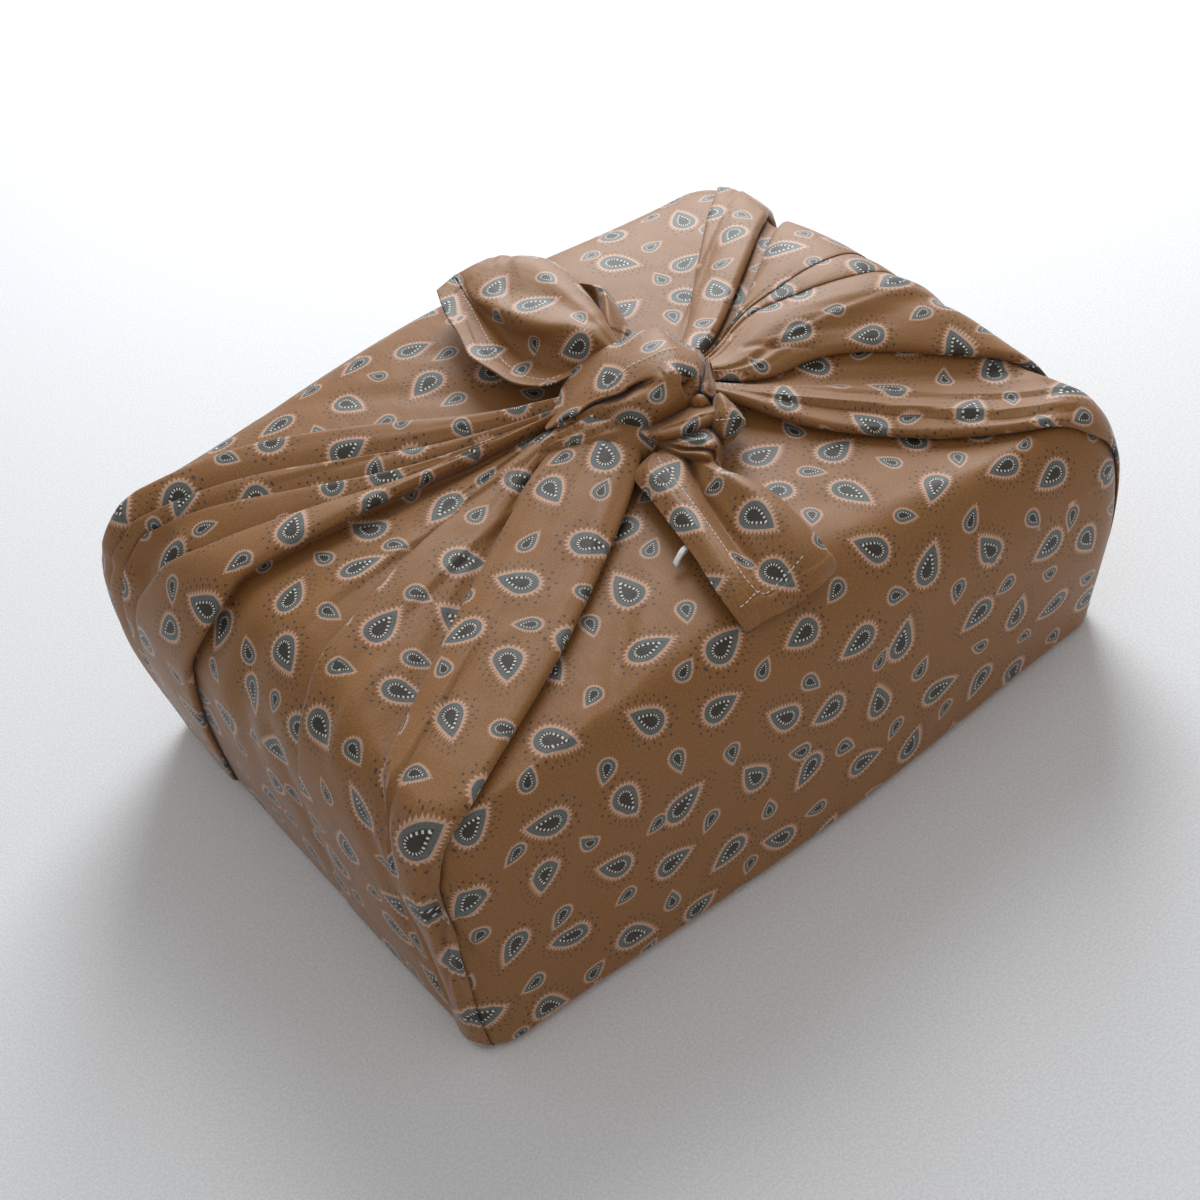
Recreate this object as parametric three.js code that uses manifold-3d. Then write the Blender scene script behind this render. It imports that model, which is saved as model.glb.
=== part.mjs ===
// A carton-shaped parcel wrapped in one square of printed cotton and tied on top.
// The two long sides carry smooth flaps. The cloth of the two short sides is drawn up in pleats
// that run over the edge to a square knot, whose two free ends lie over the flaps.
// Millimetres, +Z up, +X along the parcel, the front (-Y) and the left (-X) carry the deepest folds.
import * as THREE from 'three';
import { mergeVertices } from 'three/addons/utils/BufferGeometryUtils.js';
import Module from 'manifold-3d';

const wasm = await Module();
wasm.setup();

// ---- Driving sizes ----
const LENGTH = 340;
const DEPTH = 252;
const HEIGHT = 125;
const CORNER_RADIUS = 16;
const FOOT_RADIUS = 6;
const DOME = 13; // how far the cloth stands above the carton's lid at the knot
const KNOT = new THREE.Vector2(28, -2); // where the pleats meet
const NECK_LIFT = 9; // how far the drawn-up cloth rises as it enters the knot
const NECK_SPREAD = 0.34; // station at which that rise has died away
const CROWN_PEAK = 2.6; // scales the crown's curve so that its peak is the table's height
const SWELL_POWER = 1.3; // above 1, the sides swell most above their middle
const STEP_WIDTH = 0.008; // width of the riser between two pleats, in sides of the parcel
const EDGE_POWER = 2.3; // roundness of the edge between top and side

// One row for each corner and each middle of a side, counted round from the front left corner:
// turn 0 front left, 1 front right, 2 back right, 3 back left. bow widens the whole side, lean
// tips its top out, bulge swells its middle, crown lifts the top inside it, and reach and drop
// are the width and depth of the rounded edge.
const RIM = [
  { bow: 0, lean: 0, bulge: 0, crown: 2, reach: 14, drop: 42 },
  { bow: 6, lean: 0, bulge: 2, crown: 6, reach: 26, drop: 34 },
  { bow: 0, lean: 0, bulge: 9, crown: -7, reach: 17, drop: 32 },
  { bow: 0, lean: 2, bulge: 3, crown: 19, reach: 27, drop: 32 },
  { bow: 0, lean: 3, bulge: 0, crown: 8, reach: 18, drop: 27 },
  { bow: 1, lean: 15, bulge: 3, crown: 16, reach: 19, drop: 27 },
  { bow: 0, lean: 1, bulge: 9, crown: 12, reach: 18, drop: 26 },
  { bow: 0, lean: 0, bulge: 4, crown: 8, reach: 30, drop: 36 },
];

// Stations from the knot (0) to the edge of the lid (1), round the edge (2) and down to the foot (3).
const STATIONS = { neck: 0.25, mid: 0.5, lid: 0.75, rim: 1, edge: 1.5, waist: 2.2, foot: 3 };

// One row for each fold line: its turn round the parcel at each station.
const FOLDS = [
  { name: 'rightFront', neck: 0.83, mid: 0.79, lid: 0.86, rim: 0.91, edge: 0.96, waist: 1.0, foot: 1.0 },
  { name: 'rightRoll', neck: 1.08, mid: 1.2, lid: 1.18, rim: 1.12, edge: 1.1, waist: 1.09, foot: 1.08 },
  { name: 'rightSwell', neck: 1.42, mid: 1.55, lid: 1.49, rim: 1.45, edge: 1.44, waist: 1.43, foot: 1.42 },
  { name: 'rightRidge', neck: 1.45, mid: 1.58, lid: 1.56, rim: 1.535, edge: 1.53, waist: 1.53, foot: 1.53 },
  { name: 'grooveFront', neck: 1.49, mid: 1.61, lid: 1.7, rim: 1.76, edge: 1.78, waist: 1.8, foot: 1.81 },
  { name: 'grooveBack', neck: 1.53, mid: 1.67, lid: 1.76, rim: 1.81, edge: 1.83, waist: 1.85, foot: 1.86 },
  { name: 'rightBack', neck: 1.76, mid: 1.92, lid: 1.965, rim: 1.975, edge: 1.98, waist: 1.99, foot: 2.0 },
  { name: 'leftBack', neck: 3.0, mid: 2.94, lid: 2.95, rim: 3.0, edge: 3.02, waist: 3.0, foot: 3.0 },
  { name: 'leftTuck', neck: 3.14, mid: 3.1, lid: 3.065, rim: 3.065, edge: 3.06, waist: 3.04, foot: 3.03 },
  { name: 'leftPinch', neck: 3.19, mid: 3.2, lid: 3.155, rim: 3.105, edge: 3.09, waist: 3.08, foot: 3.07 },
  { name: 'leftCorner', neck: 3.24, mid: 3.26, lid: 3.24, rim: 3.22, edge: 3.17, waist: 3.12, foot: 3.11 },
  { name: 'leftDeep', neck: 3.28, mid: 3.3, lid: 3.33, rim: 3.34, edge: 3.345, waist: 3.28, foot: 3.2 },
  { name: 'leftWide', neck: 3.36, mid: 3.48, lid: 3.555, rim: 3.6, edge: 3.64, waist: 3.62, foot: 3.6 },
  { name: 'leftFront', neck: 3.5, mid: 3.69, lid: 3.79, rim: 3.85, edge: 3.89, waist: 3.91, foot: 3.94 },
  { name: 'frontLap', neck: 4.25, mid: 4.165, lid: 4.1, rim: 4.035, edge: 4.0, waist: 3.995, foot: 4.0 },
];

// One row for each panel that begins at the fold of the same place above. start, end and belly
// are its heights at its two folds and between them, hold is the share left at the waist, and
// cells is the number of faces across it.
const PANELS = [
  { name: 'rightRollPanel', start: 6, end: 0, belly: 1.5, hold: 0.2, cells: 7 },
  { name: 'rightSwellPanel', start: 5, end: 0, belly: 2, hold: 0.3, cells: 8 },
  { name: 'rightSlopePanel', start: 2, end: 1, belly: 0.5, hold: 0.3, cells: 3 },
  { name: 'rightRidgePanel', start: 3, end: 2, belly: 1, hold: 0.3, cells: 5 },
  { name: 'groove', start: -4, end: -4, belly: -1, hold: 0.3, cells: 2 },
  { name: 'rightBackPanel', start: 2, end: 2, belly: 2, hold: 0.4, cells: 5 },
  { name: 'backFlap', start: 0, end: 0, belly: 0, hold: 0, cells: 18 },
  { name: 'leftBackPanel', start: 6, end: 0, belly: 2, hold: 0.4, cells: 5 },
  { name: 'leftTuckPanel', start: 3, end: 0, belly: 1, hold: 0.4, cells: 4 },
  { name: 'leftPinchPanel', start: 2, end: 3, belly: 1, hold: 0.4, cells: 4 },
  { name: 'leftCornerPanel', start: 0, end: 5, belly: 1.5, hold: 0.5, cells: 5 },
  { name: 'leftDeepPanel', start: -2, end: 0, belly: 3, hold: 0.3, cells: 6 },
  { name: 'leftWidePanel', start: 3, end: 0, belly: 2, hold: 0.3, cells: 6 },
  { name: 'leftFrontPanel', start: 3, end: 5, belly: 2.5, hold: 0.5, cells: 7 },
  { name: 'frontFlap', start: 0, end: 0, belly: 0, hold: 0, cells: 18 },
];
const FLAPS = ['backFlap', 'frontFlap'];

// The knot: one table for each band. Each row is a section: its middle (x, y, z), its half
// width and half thickness, and its roll about the band in degrees.
const OVER_BAND = [
  { x: -20, y: 10, z: 141, width: 3, thick: 3, roll: 0 },
  { x: -12, y: 6, z: 145, width: 9, thick: 6, roll: -12 },
  { x: 2, y: -1, z: 150, width: 18, thick: 9, roll: -16 },
  { x: 19, y: -8, z: 153, width: 26, thick: 12, roll: -14 },
  { x: 34, y: -10, z: 152, width: 26, thick: 12, roll: -10 },
  { x: 46, y: -14, z: 147, width: 20, thick: 11, roll: -6 },
  { x: 54, y: -18, z: 138, width: 12, thick: 8, roll: 0 },
  { x: 57, y: -19, z: 131, width: 4, thick: 4, roll: 0 },
];
const UNDER_BAND = [
  { x: 50, y: -18, z: 137, width: 5, thick: 5, roll: 0 },
  { x: 44, y: -32, z: 141, width: 11, thick: 8, roll: -10 },
  { x: 32, y: -45, z: 141, width: 12, thick: 9, roll: -20 },
  { x: 18, y: -50, z: 139, width: 12, thick: 9, roll: -25 },
  { x: 5, y: -42, z: 136, width: 10, thick: 8, roll: -20 },
  { x: -2, y: -32, z: 132, width: 4, thick: 4, roll: 0 },
];
const SIDE_LOOP = [
  { x: 46, y: -20, z: 143, width: 3, thick: 3, roll: 0 },
  { x: 46, y: -27, z: 146, width: 6, thick: 4, roll: 0 },
  { x: 42, y: -38, z: 146, width: 8, thick: 4, roll: 10 },
  { x: 38, y: -47, z: 144, width: 6, thick: 3, roll: 10 },
];
const KNOT_CORE = { x: 27, y: -8, z: 140, length: 34, depth: 30, height: 17 };

// The free ends: a cut corner of the cloth each. arch is the rise of the sheet across its width,
// and valley the depth of the crease beside its hemmed edge.
const FRONT_TAIL = [
  { x: 8, y: -28, z: 141, width: 8, arch: 3, valley: 0, roll: 0 },
  { x: 5, y: -44, z: 145, width: 12, arch: 5, valley: 3, roll: 0 },
  { x: 4, y: -62, z: 145, width: 18, arch: 6, valley: 4.5, roll: 0 },
  { x: 3, y: -80, z: 143, width: 22.5, arch: 6, valley: 4.5, roll: 0 },
  { x: 0, y: -98, z: 139, width: 24, arch: 4, valley: 3.5, roll: 0 },
  { x: -2, y: -112, z: 134, width: 23.5, arch: 2, valley: 2, roll: 0 },
  { x: -3, y: -122, z: 129, width: 23, arch: 1, valley: 0.5, roll: 0 },
];
const BACK_TAIL = [
  { x: 26, y: 10, z: 150, width: 8, arch: -1, valley: 0, roll: 0 },
  { x: 25, y: 24, z: 154, width: 11, arch: -4, valley: 0, roll: 0 },
  { x: 20, y: 40, z: 156, width: 24, arch: -7, valley: 0, roll: 0 },
  { x: 17, y: 58, z: 157, width: 31, arch: -9, valley: 0, roll: 0 },
  { x: 17, y: 76, z: 158, width: 31, arch: -8, valley: 0, roll: 0 },
  { x: 18, y: 94, z: 158, width: 26, arch: -6, valley: 0, roll: 0 },
  { x: 18, y: 108, z: 157, width: 16, arch: -3, valley: 0, roll: 0 },
  { x: 18, y: 114, z: 157, width: 8, arch: 0, valley: 0, roll: 0 },
];
const TAIL_THICKNESS = 3;
const VALLEY = { at: 0.4, spread: 0.16 }; // across the width, from -1 to 1 at the hem

// The plain white tab at the hem of the front tail: where along the tail it sits, how far it
// stands out, its size along the hem, and how far it droops.
const TAB = { at: 3.6, length: 8, width: 5, thickness: 1, droop: 25, gap: 0.6 };

const CLOTH = new THREE.MeshStandardMaterial({ color: 0x8a5c40, roughness: 0.85, metalness: 0 });
const TAPE = new THREE.MeshStandardMaterial({ color: 0xe8e4dc, roughness: 0.8, metalness: 0 });

// ---- Small helpers ----
const clamp = (value, low, high) => Math.min(high, Math.max(low, value));
const mix = (from, to, share) => from + (to - from) * share;
const degrees = (angle) => THREE.MathUtils.degToRad(angle);

// A smooth curve through evenly or unevenly spaced values, with slopes taken from the neighbours.
function throughValues(places, values, place) {
  const last = places.length - 1;
  const at = clamp(place, places[0], places[last]);
  let k = 0;
  while (k < last - 1 && at > places[k + 1]) k += 1;
  const slope = (i) => {
    const before = Math.max(i - 1, 0);
    const after = Math.min(i + 1, last);
    return (values[after] - values[before]) / (places[after] - places[before]);
  };
  const span = places[k + 1] - places[k];
  const t = (at - places[k]) / span;
  const startWeight = (1 + 2 * t) * (1 - t) ** 2;
  const endWeight = t * t * (3 - 2 * t);
  const startSlope = t * (1 - t) ** 2 * span * slope(k);
  const endSlope = t * t * (t - 1) * span * slope(k + 1);
  return startWeight * values[k] + endWeight * values[k + 1] + startSlope + endSlope;
}

// A size from the rim table at any turn, eased between its corners and side middles.
function rimSize(column, turn) {
  const place = ((turn % 4) + 4) % 4 * 2;
  const row = Math.floor(place);
  const share = place - row;
  const eased = share * share * (3 - 2 * share);
  return mix(RIM[row % 8][column], RIM[(row + 1) % 8][column], eased);
}

// The parcel's outline in plan, a rectangle with round corners: a point and its outward normal.
function outline(turn) {
  const around = ((turn % 4) + 4) % 4;
  const side = Math.floor(around + 1e-9) % 4;
  const across = side % 2 ? DEPTH : LENGTH;
  const away = side % 2 ? LENGTH : DEPTH;
  const arc = (CORNER_RADIUS * Math.PI) / 4;
  const straight = across - 2 * CORNER_RADIUS;
  const distance = (around - Math.floor(around + 1e-9)) * (straight + 2 * arc);
  let angle = 0;
  let x = clamp(distance - arc, 0, straight) - straight / 2;
  let y = CORNER_RADIUS - away / 2;
  if (distance < arc) angle = distance / CORNER_RADIUS - Math.PI / 4;
  if (distance > arc + straight) angle = (distance - arc - straight) / CORNER_RADIUS;
  const normal = new THREE.Vector2(Math.sin(angle), -Math.cos(angle));
  const point = new THREE.Vector2(x, y).addScaledVector(normal, CORNER_RADIUS);
  const quarter = (side * Math.PI) / 2;
  const centre = new THREE.Vector2();
  return { point: point.rotateAround(centre, quarter), normal: normal.rotateAround(centre, quarter) };
}

// The smooth body under the pleats. Lines of one turn leave the knot, cross the domed top, round
// the edge on a superellipse and drop down the side to the rounded foot.
const FOOT_START = 2.8;
function bodyPoint(turn, place) {
  const { point, normal } = outline(turn);
  point.addScaledVector(normal, rimSize('bow', turn));
  const reach = rimSize('reach', turn);
  const drop = rimSize('drop', turn);
  const radial = point.clone().sub(KNOT);
  const length = radial.length();
  const round = clamp(place - 1, 0, 1) * Math.PI / 2;
  const power = 2 / EDGE_POWER;
  const distance = (length - reach) * clamp(place, 0, 1) + reach * Math.sin(round) ** power;
  const share = distance / length;
  let z = HEIGHT - drop + drop * Math.max(Math.cos(round), 0) ** power;
  z += rimSize('crown', turn) * CROWN_PEAK * share ** 2 * (1 - share ** 4);
  z += DOME * (1 - share ** 2) ** 2;
  let inset = 0;
  if (place > 2) z = mix(HEIGHT - drop, FOOT_RADIUS, clamp((place - 2) / (FOOT_START - 2), 0, 1));
  if (place > FOOT_START) {
    const angle = ((place - FOOT_START) / (STATIONS.foot - FOOT_START)) * Math.PI / 2;
    z = FOOT_RADIUS * (1 - Math.sin(angle));
    inset = FOOT_RADIUS * (1 - Math.cos(angle));
  }
  const level = clamp(z / HEIGHT, 0, 1);
  const swell = rimSize('bulge', turn) * Math.sin(Math.PI * level ** SWELL_POWER) * clamp(place - 1, 0, 1);
  const tip = rimSize('lean', turn) * level * share ** 3;
  const flat = KNOT.clone().addScaledVector(radial, share).addScaledVector(normal, swell + tip - inset);
  return new THREE.Vector3(flat.x, flat.y, z);
}

// The outward direction of the body at a point: its true normal on top, level on the sides.
function bodyNormal(turn, place) {
  if (place >= 2) {
    const { normal } = outline(turn);
    return new THREE.Vector3(normal.x, normal.y, 0);
  }
  const step = 0.01;
  const along = bodyPoint(turn, place + step).sub(bodyPoint(turn, Math.max(place - step, 0.001)));
  const round = bodyPoint(turn + step, place).sub(bodyPoint(turn - step, place));
  return round.cross(along).negate().normalize();
}

// How much of a panel's height is left at each station.
function pleatShare(panel, place) {
  const places = [0, STATIONS.neck, STATIONS.mid, STATIONS.rim, STATIONS.edge, STATIONS.waist, STATIONS.foot];
  const shares = [0.5, 0.8, 1, 0.95, 0.85, panel.hold, panel.hold * 0.4];
  return throughValues(places, shares, place);
}

// ---- The body with its pleats, one closed surface ----
function pleatedBody() {
  const stationNames = Object.keys(STATIONS);
  const places = stationNames.map((name) => STATIONS[name]);
  const foldTurn = (fold, place) => throughValues(places, stationNames.map((name) => fold[name]), place);
  const rows = [0.1, 0.18, 0.26, 0.34, 0.42, 0.5, 0.58, 0.66, 0.74, 0.82, 0.9, 0.96, 1.04, 1.16, 1.28, 1.4,
    1.52, 1.64, 1.76, 1.88, 2, 2.2, 2.4, 2.6, FOOT_START, 2.87, 2.94, 3];
  const positions = [];
  const index = [];
  const add = (point) => positions.push(point.x, point.y, point.z) / 3 - 1;
  const top = add(bodyPoint(0, 0));
  const rings = rows.map((place) => {
    const ring = [];
    PANELS.forEach((panel, k) => {
      const from = foldTurn(FOLDS[k], place) + STEP_WIDTH / 2;
      const next = FOLDS[(k + 1) % FOLDS.length];
      const to = foldTurn(next, place) + (k + 1 === FOLDS.length ? 4 : 0) - STEP_WIDTH / 2;
      const gathered = FLAPS.includes(panel.name) ? 0 : 1;
      for (let cell = 0; cell <= panel.cells; cell += 1) {
        const even = cell / panel.cells;
        const share = gathered ? even : (1 - Math.cos(Math.PI * even)) / 2;
        const turn = mix(from, to, share);
        const height = mix(panel.start, panel.end, share) + panel.belly * 4 * share * (1 - share);
        const rise = gathered * NECK_LIFT * Math.exp(-((place / NECK_SPREAD) ** 2));
        const point = bodyPoint(turn, place);
        point.addScaledVector(bodyNormal(turn, place), height * pleatShare(panel, place));
        point.z += rise;
        ring.push(add(point));
      }
    });
    return ring;
  });
  const bottom = add(new THREE.Vector3(0, 0, 0));
  const count = rings[0].length;
  for (let i = 0; i < count; i += 1) {
    const j = (i + 1) % count;
    index.push(top, rings[0][i], rings[0][j]);
    for (let r = 0; r + 1 < rings.length; r += 1) {
      index.push(rings[r][i], rings[r + 1][i], rings[r + 1][j]);
      index.push(rings[r][i], rings[r + 1][j], rings[r][j]);
    }
    index.push(rings[rings.length - 1][i], bottom, rings[rings.length - 1][j]);
  }
  return surface(positions, index);
}

function surface(positions, index) {
  const geometry = new THREE.BufferGeometry();
  geometry.setAttribute('position', new THREE.Float32BufferAttribute(positions, 3));
  geometry.setIndex(index);
  return geometry;
}

// ---- Bands and free ends ----
// Sections of equal point count joined into one closed body; each loop runs out along one face
// and back along the other, so its ends close in strips.
function loft(loops) {
  const positions = loops.flat().flatMap((point) => [point.x, point.y, point.z]);
  const count = loops[0].length;
  const index = [];
  for (let s = 0; s + 1 < loops.length; s += 1) {
    for (let i = 0; i < count; i += 1) {
      const j = (i + 1) % count;
      const here = s * count;
      const there = here + count;
      index.push(here + i, here + j, there + j, here + i, there + j, there + i);
    }
  }
  const end = (loops.length - 1) * count;
  for (let i = 0; i + 1 < count / 2; i += 1) {
    const mirror = count - 1 - i;
    index.push(i, mirror, mirror - 1, i, mirror - 1, i + 1);
    index.push(end + i, end + mirror - 1, end + mirror, end + i, end + i + 1, end + mirror - 1);
  }
  return surface(positions, index);
}

// The frame of a table of sections at a place between its rows.
function frameAt(table, place) {
  const places = table.map((row, k) => k);
  const read = (column, at) => throughValues(places, table.map((row) => row[column]), at);
  const middle = (at) => new THREE.Vector3(read('x', at), read('y', at), read('z', at));
  const along = middle(place + 0.05).sub(middle(place - 0.05)).normalize();
  const level = new THREE.Vector3().crossVectors(along, new THREE.Vector3(0, 0, 1));
  level.normalize();
  const upright = new THREE.Vector3().crossVectors(level, along);
  const roll = degrees(read('roll', place));
  const across = level.clone().multiplyScalar(Math.cos(roll)).addScaledVector(upright, Math.sin(roll));
  const out = upright.multiplyScalar(Math.cos(roll)).addScaledVector(level, -Math.sin(roll));
  return { read: (column) => read(column, place), middle: middle(place), across, out };
}

// A band of gathered cloth, oval in section.
function band(table, steps = 4, sides = 14) {
  const loops = [];
  for (let s = 0; s <= (table.length - 1) * steps; s += 1) {
    const { read, middle, across, out } = frameAt(table, s / steps);
    const loop = [];
    for (let i = 0; i < sides; i += 1) {
      const angle = ((i + 0.5) / sides) * Math.PI * 2;
      const point = middle.clone().addScaledVector(across, -Math.cos(angle) * read('width'));
      loop.push(point.addScaledVector(out, Math.sin(angle) * read('thick')));
    }
    loops.push(loop);
  }
  return loft(loops);
}

// A free end: a sheet of even thickness, arched across its width.
const TAIL_CELLS = 10;
const TAIL_STEPS = 2;
function tail(table) {
  const loops = [];
  for (let s = 0; s <= (table.length - 1) * TAIL_STEPS; s += 1) {
    const { read, middle, across, out } = frameAt(table, s / TAIL_STEPS);
    const height = (share) => {
      const valley = Math.exp(-(((share - VALLEY.at) / VALLEY.spread) ** 2));
      return read('arch') * (1 - share ** 2) - read('valley') * valley;
    };
    const face = (share, side) => middle.clone()
      .addScaledVector(across, share * read('width'))
      .addScaledVector(out, height(share) + side * TAIL_THICKNESS / 2);
    const shares = Array.from({ length: TAIL_CELLS + 1 }, (_, k) => (2 * k) / TAIL_CELLS - 1);
    loops.push([...shares.map((v) => face(v, 1)), ...shares.reverse().map((v) => face(v, -1))]);
  }
  return loft(loops);
}

// The tab: a plate whose inner end runs along the tail's edge, a small gap away from it.
function hemTab() {
  const before = frameAt(FRONT_TAIL, TAB.at - 0.25);
  const after = frameAt(FRONT_TAIL, TAB.at + 0.25);
  const hem = ({ middle, across, read }) => middle.clone().addScaledVector(across, read('width'));
  const along = hem(after).sub(hem(before)).normalize();
  const outward = along.clone().cross(before.out).normalize();
  const droop = outward.clone().applyAxisAngle(along, degrees(TAB.droop));
  const up = new THREE.Vector3().crossVectors(droop, along).normalize();
  const place = hem(before).lerp(hem(after), 0.5).addScaledVector(outward, TAB.gap);
  place.addScaledVector(droop, TAB.length / 2);
  const plate = new THREE.BoxGeometry(TAB.length, TAB.width, TAB.thickness);
  return plate.applyMatrix4(new THREE.Matrix4().makeBasis(droop, along, up).setPosition(place));
}

function core({ x, y, z, length, depth, height }) {
  const ball = new THREE.SphereGeometry(1, 20, 12);
  return ball.scale(length, depth, height).translate(x, y, z);
}

// ---- Joining ----
function solid(geometry) {
  const bare = geometry.clone();
  bare.deleteAttribute('normal');
  bare.deleteAttribute('uv');
  const merged = mergeVertices(bare, 1e-5);
  const mesh = new wasm.Mesh({
    numProp: 3,
    vertProperties: new Float32Array(merged.attributes.position.array),
    triVerts: new Uint32Array(merged.index.array),
  });
  mesh.merge();
  return new wasm.Manifold(mesh);
}

function geometryOf(manifold) {
  const mesh = manifold.getMesh();
  return surface(Array.from(mesh.vertProperties), Array.from(mesh.triVerts));
}

const group = new THREE.Group();
function addPart(name, geometry, material) {
  const mesh = new THREE.Mesh(geometry, material);
  mesh.name = name;
  group.add(mesh);
}

const bands = [OVER_BAND, UNDER_BAND, SIDE_LOOP].map((table) => band(table));
const tails = [FRONT_TAIL, BACK_TAIL].map((table) => tail(table));
const pieces = [...bands, ...tails, core(KNOT_CORE)];
const wrap = pieces.reduce((whole, piece) => whole.add(solid(piece)), solid(pleatedBody()));
addPart('wrap', geometryOf(wrap), CLOTH);
addPart('tab', hemTab(), TAPE);

export default group;
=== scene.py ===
"""A carton-shaped parcel wrapped in one square of printed cotton and tied on top in a square knot.

The body of the parcel is one surface whose end cloths are gathered in lapping pleats. The knot is
made of gathered bands, and the two free ends of the cloth lie on the flaps, hemmed and stitched.
Everything is in metres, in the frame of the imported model: +X along the parcel, +Z up.
"""

import math

import bpy
import numpy as np
from mathutils import Matrix, Vector


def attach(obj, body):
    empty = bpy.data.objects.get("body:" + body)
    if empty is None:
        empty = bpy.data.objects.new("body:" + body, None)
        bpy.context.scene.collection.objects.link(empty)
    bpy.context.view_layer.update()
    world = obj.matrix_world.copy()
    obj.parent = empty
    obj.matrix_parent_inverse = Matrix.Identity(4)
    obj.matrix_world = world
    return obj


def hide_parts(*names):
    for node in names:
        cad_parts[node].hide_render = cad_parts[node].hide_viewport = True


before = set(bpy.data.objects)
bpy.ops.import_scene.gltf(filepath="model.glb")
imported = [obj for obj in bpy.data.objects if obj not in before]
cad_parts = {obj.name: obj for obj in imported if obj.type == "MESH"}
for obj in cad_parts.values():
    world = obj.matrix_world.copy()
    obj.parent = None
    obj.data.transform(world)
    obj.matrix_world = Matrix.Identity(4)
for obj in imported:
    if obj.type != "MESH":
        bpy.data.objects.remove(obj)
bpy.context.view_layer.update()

bl_info = {
    "name": "Wrapped parcel",
    "version": (1, 0, 0),
    "blender": (4, 5, 0),
    "location": "View3D > Sidebar > Wrapped parcel",
    "description": "A carton wrapped in one square of printed cotton, pleated and tied on top",
    "category": "Add Mesh",
}

MM = 0.001
BODY = "root"

# ---- The carton under the cloth ----
# One row for each corner and each middle of a side, counted round from the front left corner:
# turn 0 front left, 1 front right, 2 back right, 3 back left. bow widens the whole side, lean
# tips its top out, bulge swells its middle, crown lifts the top inside it, and reach and drop
# are the width and depth of the rounded edge. Millimetres.
RIM_COLUMNS = ("bow", "lean", "bulge", "crown", "reach", "drop")
RIM = (
    (0, 0, 0, 2, 14, 42),
    (6, 0, 2, 6, 26, 34),
    (0, 0, 9, -7, 17, 32),
    (0, 2, 3, 19, 27, 32),
    (0, 3, 0, 8, 18, 27),
    (1, 15, 3, 16, 19, 27),
    (0, 1, 9, 12, 18, 26),
    (0, 0, 4, 8, 30, 36),
)
# Where the knot stands on the lid, in plan.
KNOT_PLACE = np.array([28.0, -2.0]) * MM
# The crown's curve is scaled to one at its peak, and the swell of a side is highest above its
# middle. The rounded edge is a superellipse of this power. The foot starts to round at a station,
# and the cloth rises into the neck over a bell of stations.
CROWN_PEAK = 2.6
SWELL_POWER = 1.3
EDGE_POWER = 2.3
FOOT_START = 2.8
NECK_SPREAD = 0.34
# The stations between which the outward normal turns level on the sides.
LEVEL_START, LEVEL_END = 1.7, 2.0
# The stations of the rows of faces, at these shares of their number: close together round the
# edge and at the foot. The first row stands just off the middle of the knot.
ROW_PLACES = (0.06, 1.0, 2.0, FOOT_START, 3.0)
ROW_SHARES = (0.0, 0.42, 0.66, 0.95, 1.0)
# The cells of random values on each side before the noise repeats.
NOISE_CELLS = 64

# ---- Fold lines ----
# Stations run from the knot (0) to the edge of the lid (1), round the edge (2) and down to the
# foot (3). Each row is one fold line: its turn round the parcel at each station, which side laps
# over (+1 the panel of greater turn, -1 the other), the radius of its lip, how far the cloth below
# runs in under it, and how far the line wanders from its course. Millimetres.
STATIONS = (0.25, 0.5, 0.75, 1.0, 1.5, 2.2, 3.0)
FOLD_COLUMNS = ("turns", "over", "lip", "tuck", "wander")
FOLDS = {
    "right_front": ((0.85, 0.835, 0.89, 0.93, 0.97, 1.0, 1.0), 1, 2.4, 7, 0.5),
    "right_roll": ((1.1, 1.235, 1.22, 1.165, 1.14, 1.12, 1.1), 1, 2.2, 6, 0.8),
    "right_swell": ((1.42, 1.55, 1.49, 1.45, 1.44, 1.43, 1.42), 1, 1.0, 4, 0.5),
    "right_ridge": ((1.45, 1.58, 1.56, 1.535, 1.53, 1.53, 1.53), 1, 1.0, 4, 0.5),
    "groove_front": ((1.49, 1.61, 1.7, 1.76, 1.78, 1.8, 1.81), -1, 1.6, 5, 0.5),
    "groove_back": ((1.53, 1.67, 1.76, 1.81, 1.83, 1.85, 1.86), 1, 1.6, 5, 0.5),
    "right_back": ((1.76, 1.92, 1.965, 1.975, 1.98, 1.99, 2.0), -1, 1.2, 5, 0.5),
    "left_back": ((3.0, 2.94, 2.95, 3.0, 3.02, 3.0, 3.0), 1, 2.4, 6, 0.5),
    "left_tuck": ((3.14, 3.1, 3.065, 3.065, 3.06, 3.04, 3.03), 1, 1.2, 4, 0.5),
    "left_pinch": ((3.19, 3.2, 3.155, 3.105, 3.09, 3.08, 3.07), 1, 1.0, 4, 0.4),
    "left_corner": ((3.24, 3.26, 3.24, 3.22, 3.17, 3.12, 3.11), 1, 1.0, 4, 0.4),
    "left_deep": ((3.28, 3.3, 3.33, 3.34, 3.345, 3.28, 3.2), -1, 2.0, 6, 0.6),
    "left_wide": ((3.36, 3.48, 3.555, 3.6, 3.64, 3.62, 3.6), 1, 1.2, 5, 0.8),
    "left_front": ((3.5, 3.69, 3.79, 3.85, 3.89, 3.91, 3.94), 1, 1.2, 5, 0.8),
    "front_lap": ((4.25, 4.165, 4.1, 4.035, 4.0, 3.995, 4.0), -1, 1.8, 7, 0.6),
}

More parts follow.
